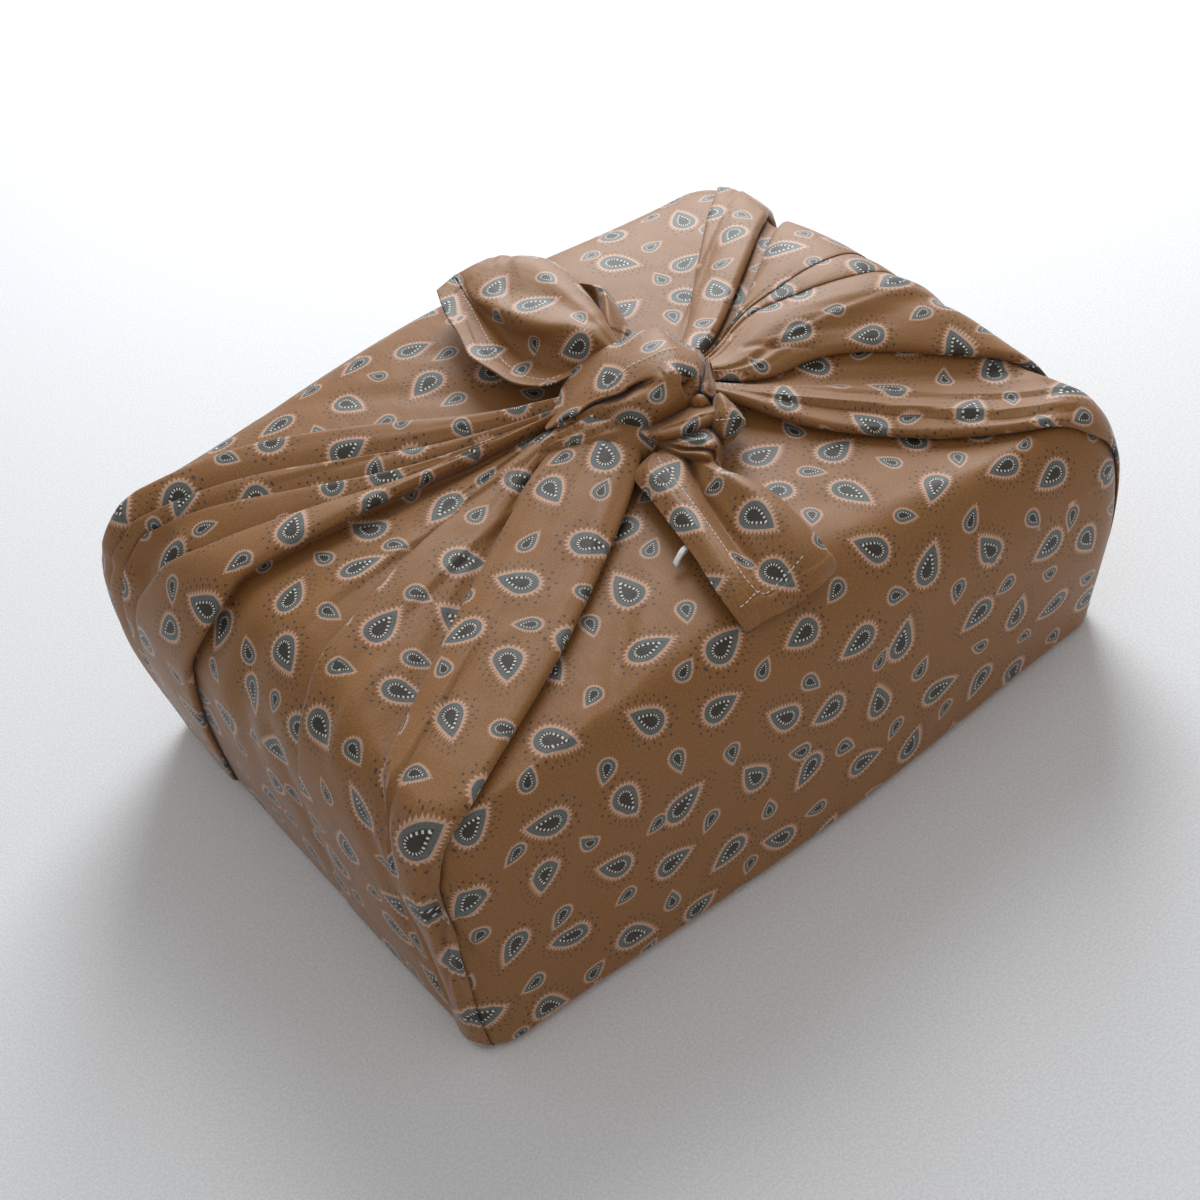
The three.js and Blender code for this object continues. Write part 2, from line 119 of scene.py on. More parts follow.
# ---- Panels ----
# One row for each panel, which begins at the fold of the same place above. start, end and belly
# are its heights at its two folds and between them in millimetres, hold is the share left at the
# waist, cells the faces across it, and streak the depth of its fine gathers in millimetres.
PANEL_COLUMNS = ("start", "end", "belly", "hold", "cells", "streak")
PANELS = {
    "right_roll_panel": (6.5, 0, 0.6, 0.2, 30, 0.7),
    "right_swell_panel": (5, 2.0, 2.2, 0.3, 30, 0.8),
    "right_slope_panel": (2.4, 2.2, 0.5, 0.3, 10, 0.2),
    "right_ridge_panel": (2.7, 1.5, 1.2, 0.3, 20, 0.4),
    "groove": (-3, -3, -1, 0.3, 6, 0.1),
    "right_back_panel": (2, 2, 2, 0.4, 18, 0.4),
    "back_flap": (0, 0, 0, 0, 56, 0.0),
    "left_back_panel": (6, 0, 2, 0.4, 16, 0.4),
    "left_tuck_panel": (4, 0, 1, 0.4, 10, 0.3),
    "left_pinch_panel": (3.5, 0, 1, 0.4, 12, 0.3),
    "left_corner_panel": (4, 6, 1.5, 0.5, 16, 0.3),
    "left_deep_panel": (-3, -0.5, 3, 0.3, 26, 0.5),
    "left_wide_panel": (4.5, -1, 2, 0.3, 26, 0.6),
    "left_front_panel": (4, 5.5, 2.5, 0.5, 28, 0.6),
    "front_flap": (0, 0, 0, 0, 60, 0.0),
}
FLAPS = ("back_flap", "front_flap")
# How far the print is shifted from each panel to the next, in metres, and the rings that close
# the underside, as shares of its outline.
PRINT_SHIFT = (0.37, 0.23)
UNDERSIDE_RINGS = (0.7, 0.35)
# The share of a panel's height at each of these stations. At the last two it is the panel's own
# held share, and a part of that at the foot.
PLEAT_PLACES = (0, 0.25, 0.5, 1.0, 1.5, 2.2, 3.0)
PLEAT_SHARES = (0.5, 0.8, 1, 0.95, 0.85)
FOOT_HOLD = 0.4
# Faces round a lip and along the hidden tuck. A lip's radius is a share of the step between its
# panels, its reach is some radii, and neither it nor the tuck is wider than a share of the panel.
LIP_CELLS = 7
TUCK_CELLS = 2
LIP_OF_STEP = 0.46
LIP_LEAST = 0.25 * MM
STEP_SLACK = 0.3 * MM
LIP_REACH = 1.3
LIP_WIDEST = 0.22
TUCK_WIDEST = 0.6
TUCK_LEAST = 1.2
# The gathers of a panel: how often they repeat along the stations, how far from the knot they
# are at full depth, and the share of it that is left beyond.
STREAK_RATE = 2.5
STREAK_REACH = 0.7
STREAK_LEFT = 0.25
# Over how wide a step a crisp crease drops, on the body and in the knot, how deep its hollow is,
# and the share of a body crease over which each end dies away.
BODY_DROP = 2.2 * MM
KNOT_DROP = 0.6 * MM
CREASE_HOLLOW = 0.7
CREASE_END = 0.25
# A crease in the knot fades out past its ends over this distance, and rises and dies away over
# these shares of its length.
KNOT_CREASE_PAST = 2.0 * MM
KNOT_CREASE_START = 0.2
KNOT_CREASE_END = 0.25

# ---- Creases ----
# One row for each crease laid over the panels: the turn and station of its two ends, its sideways
# bow in millimetres, its height (a trough is below zero), its width in millimetres, and whether it
# is crisp: a soft crease is a bell, and a crisp one laps over and drops on the right of its line.
CREASE_COLUMNS = ("turn_a", "place_a", "turn_b", "place_b", "bow", "height", "width", "crisp")
CREASES = {
    "flap_pleat": (0.225, 0.55, 0.18, 1.9, 3, -1.6, 7, 0),
    "flap_pleat_light": (0.26, 0.55, 0.22, 1.9, 3, 0.9, 9, 0),
    "flap_low": (0.085, 2.33, 0.195, 2.84, 3, -0.8, 3, 0),
    "flap_low_ridge": (0.1, 2.28, 0.21, 2.8, 3, 0.7, 4, 0),
    "flap_small": (0.12, 2.1, 0.16, 2.4, 1, -0.5, 3, 0),
    "flap_right": (0.62, 0.7, 0.7, 1.5, 5, -0.7, 10, 0),
    "flap_shadow": (0.84, 0.3, 0.9, 1.0, 4, -1.0, 8, 0),
    "back_flap_line": (2.635, 1.0, 2.625, 0.62, 2, -0.7, 2, 0),
    "back_flap_soft": (2.3, 0.5, 2.34, 1.6, 5, -0.9, 9, 0),
    "back_flap_long": (2.72, 0.35, 2.8, 1.2, 3, -0.8, 8, 0),
    "right_edge_ridge": (0.99, 1.35, 0.935, 0.22, -1, 2.6, 5, 1),
    "right_edge_fine": (1.03, 1.25, 1.02, 0.3, -1, 1.2, 4, 1),
    "swell_low": (1.3, 0.45, 1.33, 1.7, 6, -2.4, 8, 0),
    "swell_high": (1.37, 0.45, 1.4, 1.8, -4, 2.0, 9, 0),
    "swell_line": (1.345, 0.3, 1.36, 1.5, 3, 0.8, 5, 1),
    "swell_crinkle_a": (1.38, 0.36, 1.32, 0.5, 1, -0.8, 1.8, 0),
    "swell_crinkle_b": (1.35, 0.4, 1.29, 0.54, 1, -0.8, 1.8, 0),
    "swell_crinkle_c": (1.33, 0.45, 1.26, 0.58, 1, -0.7, 1.8, 0),
    "roll_hollow": (1.12, 0.35, 1.12, 1.25, 3, -2.2, 6, 0),
    "roll_crinkle": (1.12, 0.62, 1.09, 0.72, 1, -0.5, 1.5, 0),
    "back_panel_dip": (1.88, 0.4, 1.93, 1.3, 2, -0.8, 5, 0),
    "back_panel_line": (1.9, 0.25, 1.935, 1.5, 1, 0.8, 4, 1),
    "left_gather": (3.1, 0.3, 3.1, 0.9, 0.5, 0.8, 3, 1),
    "corner_gather": (3.28, 0.3, 3.24, 0.85, 0.5, 0.9, 4, 1),
    "deep_long": (3.4, 0.5, 3.44, 2.4, 8, -2.2, 8, 0),
    "deep_swell": (3.42, 1.0, 3.36, 2.2, 6, 1.8, 10, 0),
    "deep_line": (3.47, 0.3, 3.52, 1.1, 2, 1.2, 5, 1),
    "wide_soft": (3.66, 0.75, 3.7, 1.6, 4, -1.6, 6, 0),
    "wide_light": (3.71, 0.8, 3.74, 1.7, 4, 1.2, 6, 0),
    "wide_line": (3.62, 0.25, 3.68, 0.9, 2, 1.2, 5, 1),
    "front_inner": (3.9, 0.45, 3.935, 1.9, -3, 1.8, 7, 1),
    "front_inner_low": (3.87, 1.1, 3.9, 1.65, 2, -2.2, 4, 0),
    "lap_long": (4.02, 0.3, 3.96, 1.2, 3, -1.0, 9, 0),
    "corner_pinch": (3.13, 0.9, 3.12, 1.75, 0, -4.5, 7, 0),
    "corner_puff": (3.05, 1.0, 3.05, 1.8, 0, 2.0, 8, 0),
    "edge_down_a": (3.985, 1.5, 4.0, 2.83, 3, 2.0, 5, 1),
    "edge_down_b": (3.965, 1.6, 3.975, 2.8, 2, 1.6, 4, 1),
    "edge_down_c": (3.93, 1.8, 3.955, 2.7, -2, 1.2, 5, 1),
    "edge_arc": (4.015, 1.62, 4.06, 1.95, -4, 1.8, 2.5, 0),
    "edge_hollow": (3.98, 1.35, 3.962, 2.5, 3, -2.6, 1.6, 0),
    "edge_hollow_low": (3.972, 1.66, 4.03, 2.45, -2, -2.0, 1.5, 0),
    "edge_hollow_side": (3.893, 1.15, 3.885, 2.8, 4, -2.4, 1.8, 0),
    "edge_hollow_far": (3.86, 1.3, 3.85, 2.6, 3, -1.4, 1.8, 0),
    "edge_puff": (3.935, 1.2, 3.93, 2.2, 0, 1.6, 6, 0),
    "side_drop_a": (3.78, 1.5, 3.86, 2.6, 5, -1.8, 5, 0),
    "side_drop_b": (3.5, 1.6, 3.6, 2.7, 6, -1.6, 7, 0),
}


# ---- The knot ----
# Nets of control points, in millimetres. Each row crosses the cloth once, from one long edge to
# the other in the order that its comment gives, and the rows follow each other along the cloth.
# The over band starts at its left point and ends at the right, and goes round a closed ring.
# Across: low edge, low face, belly, crease, lap, ridge, seam, hem, back edge, back face.
OVER_BAND = (
    ((-16.6, 6.2, 146), (-17, 5.5, 147), (-17.3, 5.3, 147.5), (-16.9, 6, 147), (-17.5, 5, 148),
     (-17.5, 5.1, 148), (-17.4, 5.3, 148), (-17, 6.1, 147.5), (-16.5, 6.9, 147), (-15, 9.6, 145)),
    ((-6.9, -2, 147.5), (-8.1, -3.7, 150.5), (-8.4, -3, 151.8), (-6.7, 1.4, 149), (-9, -1, 151.8),
     (-9.1, -0.2, 152.8), (-8.5, 1.9, 152.8), (-7.3, 5, 152), (-5.7, 9.5, 150.5),
     (-6.3, 15.2, 146.5)),
    ((-2.6, -11.2, 147.5), (-1.2, -11, 152), (0.6, -8.9, 156), (5.4, -0.6, 151.5), (0.5, -5, 156.5),
     (1.1, -3, 157.5), (2.3, 0.3, 157.5), (4.6, 5.6, 156.5), (8, 13.3, 154), (10.7, 27.8, 147.5)),
    ((2.4, -19.5, 147.5), (4, -20.1, 154.8), (6.4, -17.5, 160), (13.9, -6.7, 154.5),
     (8, -12.4, 160.5), (8.6, -10.3, 161.5), (10.7, -5.8, 161.5), (15.9, 4.3, 160.5),
     (23.3, 18.2, 157.5), (23.6, 28.8, 150)),
    ((6.4, -24.2, 148.5), (9, -24.5, 156.5), (12.8, -19.7, 161.8), (19.6, -9.1, 157.5),
     (15.2, -13.9, 162.2), (16.8, -10.9, 163.5), (19.1, -6.3, 164), (23.9, 2.8, 163),
     (30.4, 14.1, 160), (32.7, 24.2, 153)),
    ((15.5, -27.6, 150), (15.6, -29.5, 157.8), (18.8, -24.9, 162.8), (21.3, -20.9, 164.2),
     (22.5, -18.4, 165), (24.5, -14.5, 165.6), (27.2, -9, 165.6), (33, 1, 164.5),
     (38.3, 9.7, 162.5), (42.9, 17.7, 156)),
    ((25.4, -28.4, 150), (25.2, -29.5, 157.5), (26.6, -27, 162.5), (28.5, -24, 164.2),
     (30, -21.1, 165.2), (32.1, -17.1, 166), (35.3, -11.1, 166), (39.7, -2.8, 164.5),
     (44.3, 4.7, 162.5), (49.7, 13.3, 156)),
    ((32.2, -27.8, 150.5), (31.8, -28.4, 156.5), (32.5, -26.8, 160.5), (33.9, -24.6, 162),
     (35.5, -22.3, 163), (37.5, -19.3, 163.8), (40.4, -14.6, 163.5), (43, -9.6, 162.3),
     (46.1, -4.4, 160), (51.3, 3.3, 154)),
    ((37.6, -24.3, 149), (36.6, -26.8, 153.5), (37.1, -27.1, 156.5), (38.3, -26.3, 158.5),
     (39.9, -24.5, 159.5), (41.8, -22.1, 160), (44.7, -18.3, 159.5), (47.7, -14, 158),
     (50.8, -9.2, 155.5), (56.2, -1.4, 149.5)),
    ((42.3, -20.2, 146), (42.7, -21.1, 148.5), (44.1, -20.6, 150), (46.1, -19.3, 151),
     (48, -17.4, 151.5), (49.9, -15.5, 152), (51.5, -13.6, 152), (53.4, -10.9, 151),
     (55.9, -7.2, 149), (59.4, -1.9, 145)),
)
# The free end at the front, from the knot to its tip, and the leaf-shaped one at the back.
# Across: hem, strip, seam, inner, valley, rise, crown, side, under.
FRONT_END = (
    ((-3, -35.8, 143), (2.1, -36.7, 145), (5.6, -37.7, 146), (11.5, -37.8, 145), (16, -39.3, 142),
     (15.2, -45.5, 143), (16, -50.8, 144.5), (18.5, -54.4, 144), (18.6, -52.9, 139)),
    ((-8.5, -39.5, 143), (-4.4, -44.2, 147), (1.6, -44.4, 147.5), (8.7, -47.2, 147),
     (12.8, -46.9, 142), (12.5, -53.2, 145), (12.5, -62.1, 148), (15.2, -66, 147.5),
     (16.6, -61.3, 139)),
    ((-11.8, -54.7, 142.5), (-7.2, -58.4, 146), (-1.6, -59.8, 146.5), (3.7, -60.8, 145),
     (5.7, -62.5, 141.5), (6.6, -68.5, 145), (12.4, -74.9, 150.5), (19, -78.5, 147),
     (18.9, -74.1, 139)),
    ((-16.1, -72.9, 142), (-11.2, -75.5, 145), (-5.5, -75.5, 145.5), (-1.4, -76.3, 143),
     (0.7, -78.4, 140.5), (4.2, -83.6, 144), (12.9, -90.2, 149), (21, -92.5, 144.5),
     (18, -90, 137)),
    ((-20.1, -91.2, 140.5), (-15.2, -93.4, 143.5), (-10, -94, 143.5), (-6.8, -94.8, 141),
     (-3.9, -96.3, 139), (0.5, -100.8, 142), (12.1, -104.9, 146), (20, -108.7, 141),
     (15.6, -107.2, 134)),
    ((-25, -109.6, 137.5), (-19.7, -110.7, 140), (-13.8, -109.8, 140.5), (-10.9, -111, 138),
     (-7, -111.9, 136.5), (-0.5, -113.2, 139), (10.5, -116.8, 142), (19.7, -118.9, 136.5),
     (14.8, -117.6, 130)),
    ((-25.5, -118.7, 132.5), (-20.5, -119.3, 135), (-13.6, -117.7, 136), (-11.3, -119.8, 133.5),
     (-6.9, -121, 133), (0.2, -120.9, 135), (9.9, -124, 137), (19.4, -123.1, 132),
     (13.8, -122.3, 126.5)),
    ((-23.4, -120.5, 126), (-18.7, -122.5, 127.5), (-13.4, -123.9, 128.5), (-9.1, -123.3, 127),
     (-3.8, -123.5, 127), (0.8, -126.1, 129), (5.8, -127.6, 132), (16.5, -124, 130),
     (12.6, -121.8, 125)),
)
# Across: under, edge, fold, face, ridge, bulge, pocket, strip, hem.
BACK_END = (
    ((37.3, 24.7, 148), (32.9, 18.7, 154), (30.6, 17.3, 156), (29, 18, 156), (27, 18.2, 156),
     (27.8, 23.1, 150), (27.4, 24.4, 148), (26.7, 25.1, 147), (26.4, 26.4, 146)),
    ((41.8, 40.8, 151), (37.1, 34, 158), (33.1, 31.1, 160.5), (29.4, 29.1, 160.5),
     (23.6, 26.3, 161), (18.9, 25, 152), (16.8, 27.1, 148.5), (12, 25.5, 149), (10.1, 23.6, 149.5)),
    ((46.3, 56.4, 151), (41.9, 49.9, 158), (34.8, 44.1, 161.5), (28.5, 40.7, 161.5),
     (19.9, 34.6, 163), (14.6, 32.9, 152.5), (9.4, 34.2, 147.5), (1, 29.6, 149), (-2.7, 24.9, 151)),
    ((49, 70, 150.5), (45.5, 64.5, 157.5), (36.2, 57.7, 161.5), (28.1, 52.8, 161),
     (14.8, 42.5, 163), (12.7, 47.3, 152.5), (6, 46.1, 147), (-3.8, 39.9, 149.5),
     (-11.1, 34.2, 152)),
    ((50.6, 82.9, 150.5), (48.2, 78.3, 157), (37.5, 71.7, 161.5), (25.9, 62.8, 160.5),
     (11.8, 52.1, 162), (9.7, 59, 152), (5, 59.6, 148), (-4.3, 52.6, 150.5), (-13.5, 46.9, 153)),
    ((49.5, 93.4, 150.5), (48.7, 89.3, 156.5), (37.9, 83.8, 161.5), (22.2, 72.5, 160),
     (10, 63.6, 161), (9, 70.4, 152.5), (5.7, 70.8, 150.5), (-0.8, 68.7, 152), (-14.9, 60.7, 154)),
    ((45.3, 101.8, 151), (45.2, 98, 156.5), (34.5, 93.3, 161.5), (19.3, 82.4, 160),
     (8.8, 76.8, 160), (9.6, 83.1, 155), (7.4, 84.2, 153.5), (3.9, 82.9, 154), (-10.1, 76.2, 155)),
    ((38.2, 107.8, 152), (38.8, 104.2, 157), (28.7, 97.6, 160.5), (18, 91.7, 160.5),
     (9.1, 89.5, 159), (8.9, 92.8, 157), (7.9, 93.9, 156.5), (7.2, 94.6, 156), (-5.9, 91.8, 156)),
    ((31.4, 113.5, 153), (31.6, 110.2, 157), (24.2, 108.5, 159), (20, 108.7, 159),
     (16.4, 109.2, 158.5), (14.7, 110, 158), (12.9, 109.8, 158), (11.5, 110.2, 157.5),
     (0.9, 107.5, 157)),
)
# Folded bands under the over band, each a closed ring of its net's columns.
# Across: low edge, low face, belly, crest, upper, top.
UNDER_ROLL = (
    ((5.8, -20.5, 146), (5.3, -21.2, 147), (4.8, -21.8, 148), (4.7, -22, 148.5), (5.4, -21.2, 148),
     (6.7, -19.8, 147)),
    ((6.7, -25.7, 145.5), (5.7, -27.6, 148), (5.4, -28.7, 150), (6.1, -28.3, 150.5),
     (7.4, -27.1, 150.5), (10.3, -23.5, 148.5)),
    ((9.7, -31.8, 145.5), (8.5, -34.3, 148.5), (8.4, -35.7, 151.5), (9.9, -34.8, 152.5),
     (12.5, -32.3, 152), (17.6, -26.3, 148.5)),
    ((15.5, -36.5, 145.5), (14.2, -39.3, 149), (14.9, -40.2, 152.5), (17.5, -38.1, 153.5),
     (21.3, -34.1, 152.5), (27.6, -26.6, 148.5)),
    ((22.7, -38.5, 145.5), (21, -41.5, 149.5), (21.9, -42, 153), (24.4, -40.2, 154),
     (27.9, -36.4, 153), (34.6, -27.8, 148.5)),
    ((28.1, -40.1, 146), (26.8, -42.6, 149.5), (27.7, -43.3, 152.5), (29.4, -42.4, 153.5),
     (31.7, -40.3, 153.5), (37.2, -33.3, 149)),
    ((30.9, -40.7, 146), (30.1, -42.6, 148.5), (31.1, -43.4, 150.5), (32.8, -42.5, 151),
     (34.5, -40.9, 151), (38.7, -35.2, 147.5)),
    ((37.9, -37.1, 143), (37.6, -37.9, 144), (37.7, -38.1, 144.5), (38.2, -37.7, 144.5),
     (39, -36.7, 144), (40.1, -35.1, 143)),
)
# Across: low edge, low face, swell, crease, lip, upper, top.
LOWER_ROLL = (
    ((9.7, -29.8, 144), (9.2, -30.7, 145), (8.9, -31.5, 146), (8.9, -31.8, 146.5),
     (9.2, -31.7, 146.5), (9.9, -30.9, 146), (10.9, -29.5, 145)),
    ((10.7, -37.1, 143), (9, -40, 146.5), (8.5, -41.7, 149), (10.4, -39.7, 148),
     (10.3, -40.7, 149.5), (11.6, -39.8, 149.5), (15.3, -35.7, 146.5)),
    ((12.1, -42.9, 142), (10.3, -46.2, 146), (10.1, -48.3, 149.5), (13.5, -44.8, 147.5),
     (12.8, -46.7, 150), (15.1, -45.3, 150.5), (21.3, -38.5, 147)),
    ((14.5, -47.3, 141.5), (13, -50.4, 145.5), (13.3, -52.3, 149.5), (17.5, -48.2, 147),
     (16.6, -50.4, 150), (20.4, -47.7, 150.5), (27.4, -39.9, 147)),
    ((15.7, -50.5, 141), (14.5, -53.6, 145), (15.2, -56, 149.5), (20.3, -51.5, 146.5),
     (19.3, -54.2, 150), (22.6, -51.7, 150), (28.8, -44.5, 146.5)),
    ((16.1, -52.5, 140.5), (15.2, -55.2, 144), (16.6, -56.8, 147.5), (21.3, -53.1, 145),
     (21, -54.9, 147.5), (23.1, -53.8, 147.5), (27.9, -48.6, 143.5)),
    ((17.2, -53.5, 139.5), (16.3, -55.6, 142), (17, -57.1, 144.5), (19.7, -55.5, 143.5),
     (20.1, -56, 144.5), (21.9, -54.9, 144), (24.7, -51.8, 141.5)),
    ((18.6, -53.2, 138), (18.1, -54.6, 139.5), (18.4, -55.8, 141), (19.4, -55.7, 141),
     (19.9, -55.5, 141), (21, -54.8, 140.5), (22.7, -52.9, 139)),
)
# Across: low edge, low face, stitched, upper face, top edge, top.
SIDE_LOOP = (
    ((31, -37.9, 144), (30.2, -39.7, 147), (31.3, -39.5, 149), (33.9, -37.1, 149.5),
     (37.4, -32.9, 148), (40.2, -29.2, 146)),
    ((30.4, -42.9, 143.5), (28.5, -46.1, 148), (29.9, -45.9, 152.5), (33.8, -41.6, 154.5),
     (37.9, -36, 153.5), (42.1, -30.2, 149)),
    ((31, -47.6, 143), (29, -50.8, 147.5), (31.3, -49.5, 154), (34.9, -44.8, 156.5),
     (39.2, -38.3, 155.5), (44.2, -31.4, 150)),
    ((34.6, -48.8, 143), (32.5, -52, 147.5), (35, -50.4, 153), (36.8, -47.7, 154.5),
     (39.8, -42.5, 153.5), (44.7, -35.8, 148)),
    ((38.9, -48.1, 143), (37.5, -50.5, 146.5), (38.8, -50.2, 150.5), (39.6, -48.7, 151),
     (40.9, -46.2, 150.5), (44.8, -40.8, 146)),
    ((42, -46.8, 143), (41.7, -47.8, 144.5), (41.7, -48.6, 146.5), (41.8, -48.4, 147),
     (42.5, -47.1, 146.5), (44.5, -44.1, 144)),
)
# Across: left, hollow, face, ridge, right edge, behind.
RIGHT_FOLD = (
    ((51.1, -15.2, 155.5), (50.4, -16.5, 157), (50.2, -17.2, 157.8), (50.3, -17.4, 157.8),
     (50.9, -16.9, 157), (52.2, -15.3, 155)),
    ((49.3, -14.9, 152), (47, -19.2, 155.5), (45.3, -22.9, 158.5), (45.9, -23.4, 158.5),
     (48.1, -21.2, 156), (51.7, -16.4, 151)),
    ((46, -16.6, 149), (42.9, -22.7, 154), (40.3, -28.4, 158.5), (41.6, -28.8, 158),
     (45.2, -25.3, 154), (49.6, -19.6, 148)),
    ((41.5, -19, 147), (38.2, -25.3, 152), (35.5, -32, 157), (37.5, -33.5, 157), (42.7, -29.3, 152),
     (47.1, -23.8, 146)),
    ((40.4, -22, 145.5), (37.8, -26.9, 149.5), (36.2, -31.9, 153), (37.3, -33.8, 153.5),
     (41.7, -30.8, 149.5), (45.2, -26.4, 144.5)),
    ((41.4, -25.6, 143.5), (39.9, -28.2, 145.5), (39.3, -29.8, 146.5), (39.7, -30.2, 146.5),
     (41, -29.3, 145.5), (42.9, -27.2, 143.5)),
)
# The small hemmed corner that stands behind the leaf.
# Across: far, outer, hem, hollow, inner.
BACK_CORNER = (
    ((54.9, 52.1, 150), (50.9, 50.5, 157), (49.6, 51.1, 159), (49.2, 60.2, 157), (47.1, 67, 156)),
    ((49.5, 38.5, 149), (45.6, 40.2, 157), (44.1, 43.1, 158.5), (48.5, 57.4, 152.5),
     (46.5, 62.8, 152)),
    ((46.4, 30.1, 148), (40.9, 31.7, 156), (37.5, 33.5, 158), (42.8, 45.2, 152.5),
     (43.1, 50.2, 151)),
    ((40.6, 21, 147), (34.1, 19.5, 154), (32.3, 22.5, 155), (37.1, 30.4, 152), (39.6, 36.9, 150)),
)

# One table for each round band of gathered cloth. Each row is a section: its middle x, y, z, its
# half width and half thickness in millimetres, and its roll about the band in degrees.
NECK_BAND = (
    (-30, 2, 138, 6, 4, 0),
    (-20, 0, 141, 10, 6, 0),
    (-8, -8, 143, 14, 8, -10),
    (6, -16, 144, 16, 10, -10),
    (20, -20, 142, 12, 9, 0),
)
CORE_BAND = (
    (4, 4, 142, 10, 7, 0),
    (16, 0, 146, 18, 10, 0),
    (30, -6, 147, 20, 11, 0),
    (42, -12, 145, 14, 10, 0),
    (50, -15, 140, 5, 5, 0),
)
SMALL_TUCK = (
    (32.4, -25.0, 147, 1.5, 1.2, -40),
    (32.4, -30.1, 152, 2.6, 2, -40),
    (33.0, -33.9, 153.5, 2.2, 1.7, -40),
    (35.2, -34.5, 151, 0.6, 0.6, -40),
)

# Creases pressed into the knot from above: the two ends in plan, the sideways bow, the height (a
# trough is below zero) and the width, all in millimetres, and how crisp the crease is: 0 is a soft
# bell, and 1 is a lap that drops at once on the right of the line.
PRESS_COLUMNS = ("x_a", "y_a", "x_b", "y_b", "bow", "height", "width", "crisp")
OVER_CREASES = (
    (-15.8, 3.4, 3.6, -11.3, -0.6, 1.5, 2.2, 1),
    (-14, 0, 2, -15, 0.4, 0.8, 2.0, 1),
    (24, -22, 31, -24, -0.8, 0.8, 3.0, 0),
)
# Dimples poked into a band: the middle, the radius and the depth of each in millimetres.
OVER_DIMPLES = ((33.0, -26.6, 159, 3.5, 7.0), (31.8, -28.6, 156.5, 2.4, 3.0))
UNDER_CREASES = ((9, -33, 30, -41.5, 1.0, 0.6, 2.4, 1),)
LOWER_CREASES = ((12, -44, 21, -51, 0.6, 0.7, 2.0, 1),)
LOOP_CREASES = ((31, -42, 33, -50, 0.4, 0.5, 2.0, 0),)
NECK_CREASES = (
    (-28, 1, 10, -22, 2.0, 1.4, 2.2, 1),
    (-28, 3, 10, -12, 2.0, 1.4, 2.2, 1),
    (-26, -1, 4, -26, 1.0, 1.2, 2.2, 1),
)

# Stitch lines: the way of each over its net, as pairs of row and column of the control points.
STITCH_LINES = {
    "knot_stitches": ("over_band", ((2.5, 5.0), (3.0, 6.0), (5.0, 6.0), (6.2, 6.1), (6.9, 6.6))),
    "loop_stitches": ("side_loop", ((1.0, 2.0), (2.0, 2.0), (3.9, 2.0))),
    "front_side_stitches": ("front", ((0.6, 2.0), (3.0, 2.0), (5.0, 2.0), (6.0, 2.0))),
    "front_tip_stitches": ("front", (
        (5.75, 0.6), (5.84, 1.3), (5.9, 2.0), (5.74, 3.0), (5.64, 4.0), (5.6, 4.9), (5.45, 5.4),
        (5.2, 5.9),
    )),
    "back_side_stitches": ("back", ((1.4, 7.0), (4.0, 7.0), (6.0, 7.0), (8.0, 7.0))),
    "back_tip_stitches": ("back", ((7.25, 7.0), (7.3, 6.0), (7.35, 4.6))),
    "corner_stitches": ("corner", ((0.1, 1.9), (1.5, 1.9), (2.6, 1.9))),
}
# The loop of woven tape sewn under the front end's hem, from the seam out to its fold and back.
TAPE_LOOP = (
    ((-17, -81.8, 140.5), (-17.3, -82.9, 140.5), (-17.6, -84, 140.4)),
    ((-19.1, -82, 140.7), (-19.4, -83.1, 140.9), (-19.6, -84.2, 140.6)),
    ((-21.4, -82.4, 140.3), (-21.7, -83.6, 140.4), (-21.8, -84.7, 140)),
    ((-23.6, -83, 139.1), (-24, -84.1, 139.3), (-24, -85.2, 138.8)),
    ((-25.1, -83.3, 138.1), (-25.5, -84.5, 138.2), (-25.5, -85.6, 137.8)),
    ((-25.4, -83.4, 137.6), (-25.8, -84.5, 137.7), (-25.8, -85.7, 137.3)),
    ((-25, -83.3, 137.3), (-25.4, -84.5, 137.4), (-25.4, -85.6, 137)),
    ((-23.4, -82.9, 138), (-23.8, -84, 138.2), (-23.8, -85.1, 137.8)),
    ((-21.1, -82.4, 139.2), (-21.5, -83.5, 139.3), (-21.6, -84.6, 139.1)),
    ((-17.6, -81.8, 139.8), (-17.9, -82.9, 139.8), (-18.1, -84, 139.7)),
)
STITCH_PITCH = 2.3 * MM
STITCH_LENGTH = 1.6 * MM
STITCH_WIDTH = 0.42 * MM
STITCH_LIFT = 0.45 * MM
# The sections of one stitch: their places as shares of its length, their widths as shares.
STITCH_PLACES = np.array([-0.5, -0.35, 0.0, 0.35, 0.5])
STITCH_WIDTHS = np.array([0.25, 0.85, 1.0, 0.85, 0.25])
CLOTH_THICKNESS = 0.8 * MM
TAPE_THICKNESS = 0.4 * MM
HEM_WIDTH = 9.0 * MM
HEM_STEP = 0.5 * MM
# The height of the fine wrinkles on the bands and on the free ends.
BAND_WRINKLE = 0.35 * MM
END_WRINKLE = 0.4 * MM
# Rows of points for each row of a folded band's net, then the rows and columns of points of a
# round band, of a free end and of the tape.
ROWS_PER_NET_ROW = 15
ROUND_STEPS, ROUND_SIDES = 90, 72
END_STEPS, END_CELLS = 120, 130
TAPE_STEPS, TAPE_CELLS = 80, 17

# Each round band: its table of sections, its creases and a seed.
ROUND_BANDS = {
    "neck_band": (NECK_BAND, NECK_CREASES, 6),
    "core_band": (CORE_BAND, (), 1),
    "small_tuck": (SMALL_TUCK, (), 11),
}
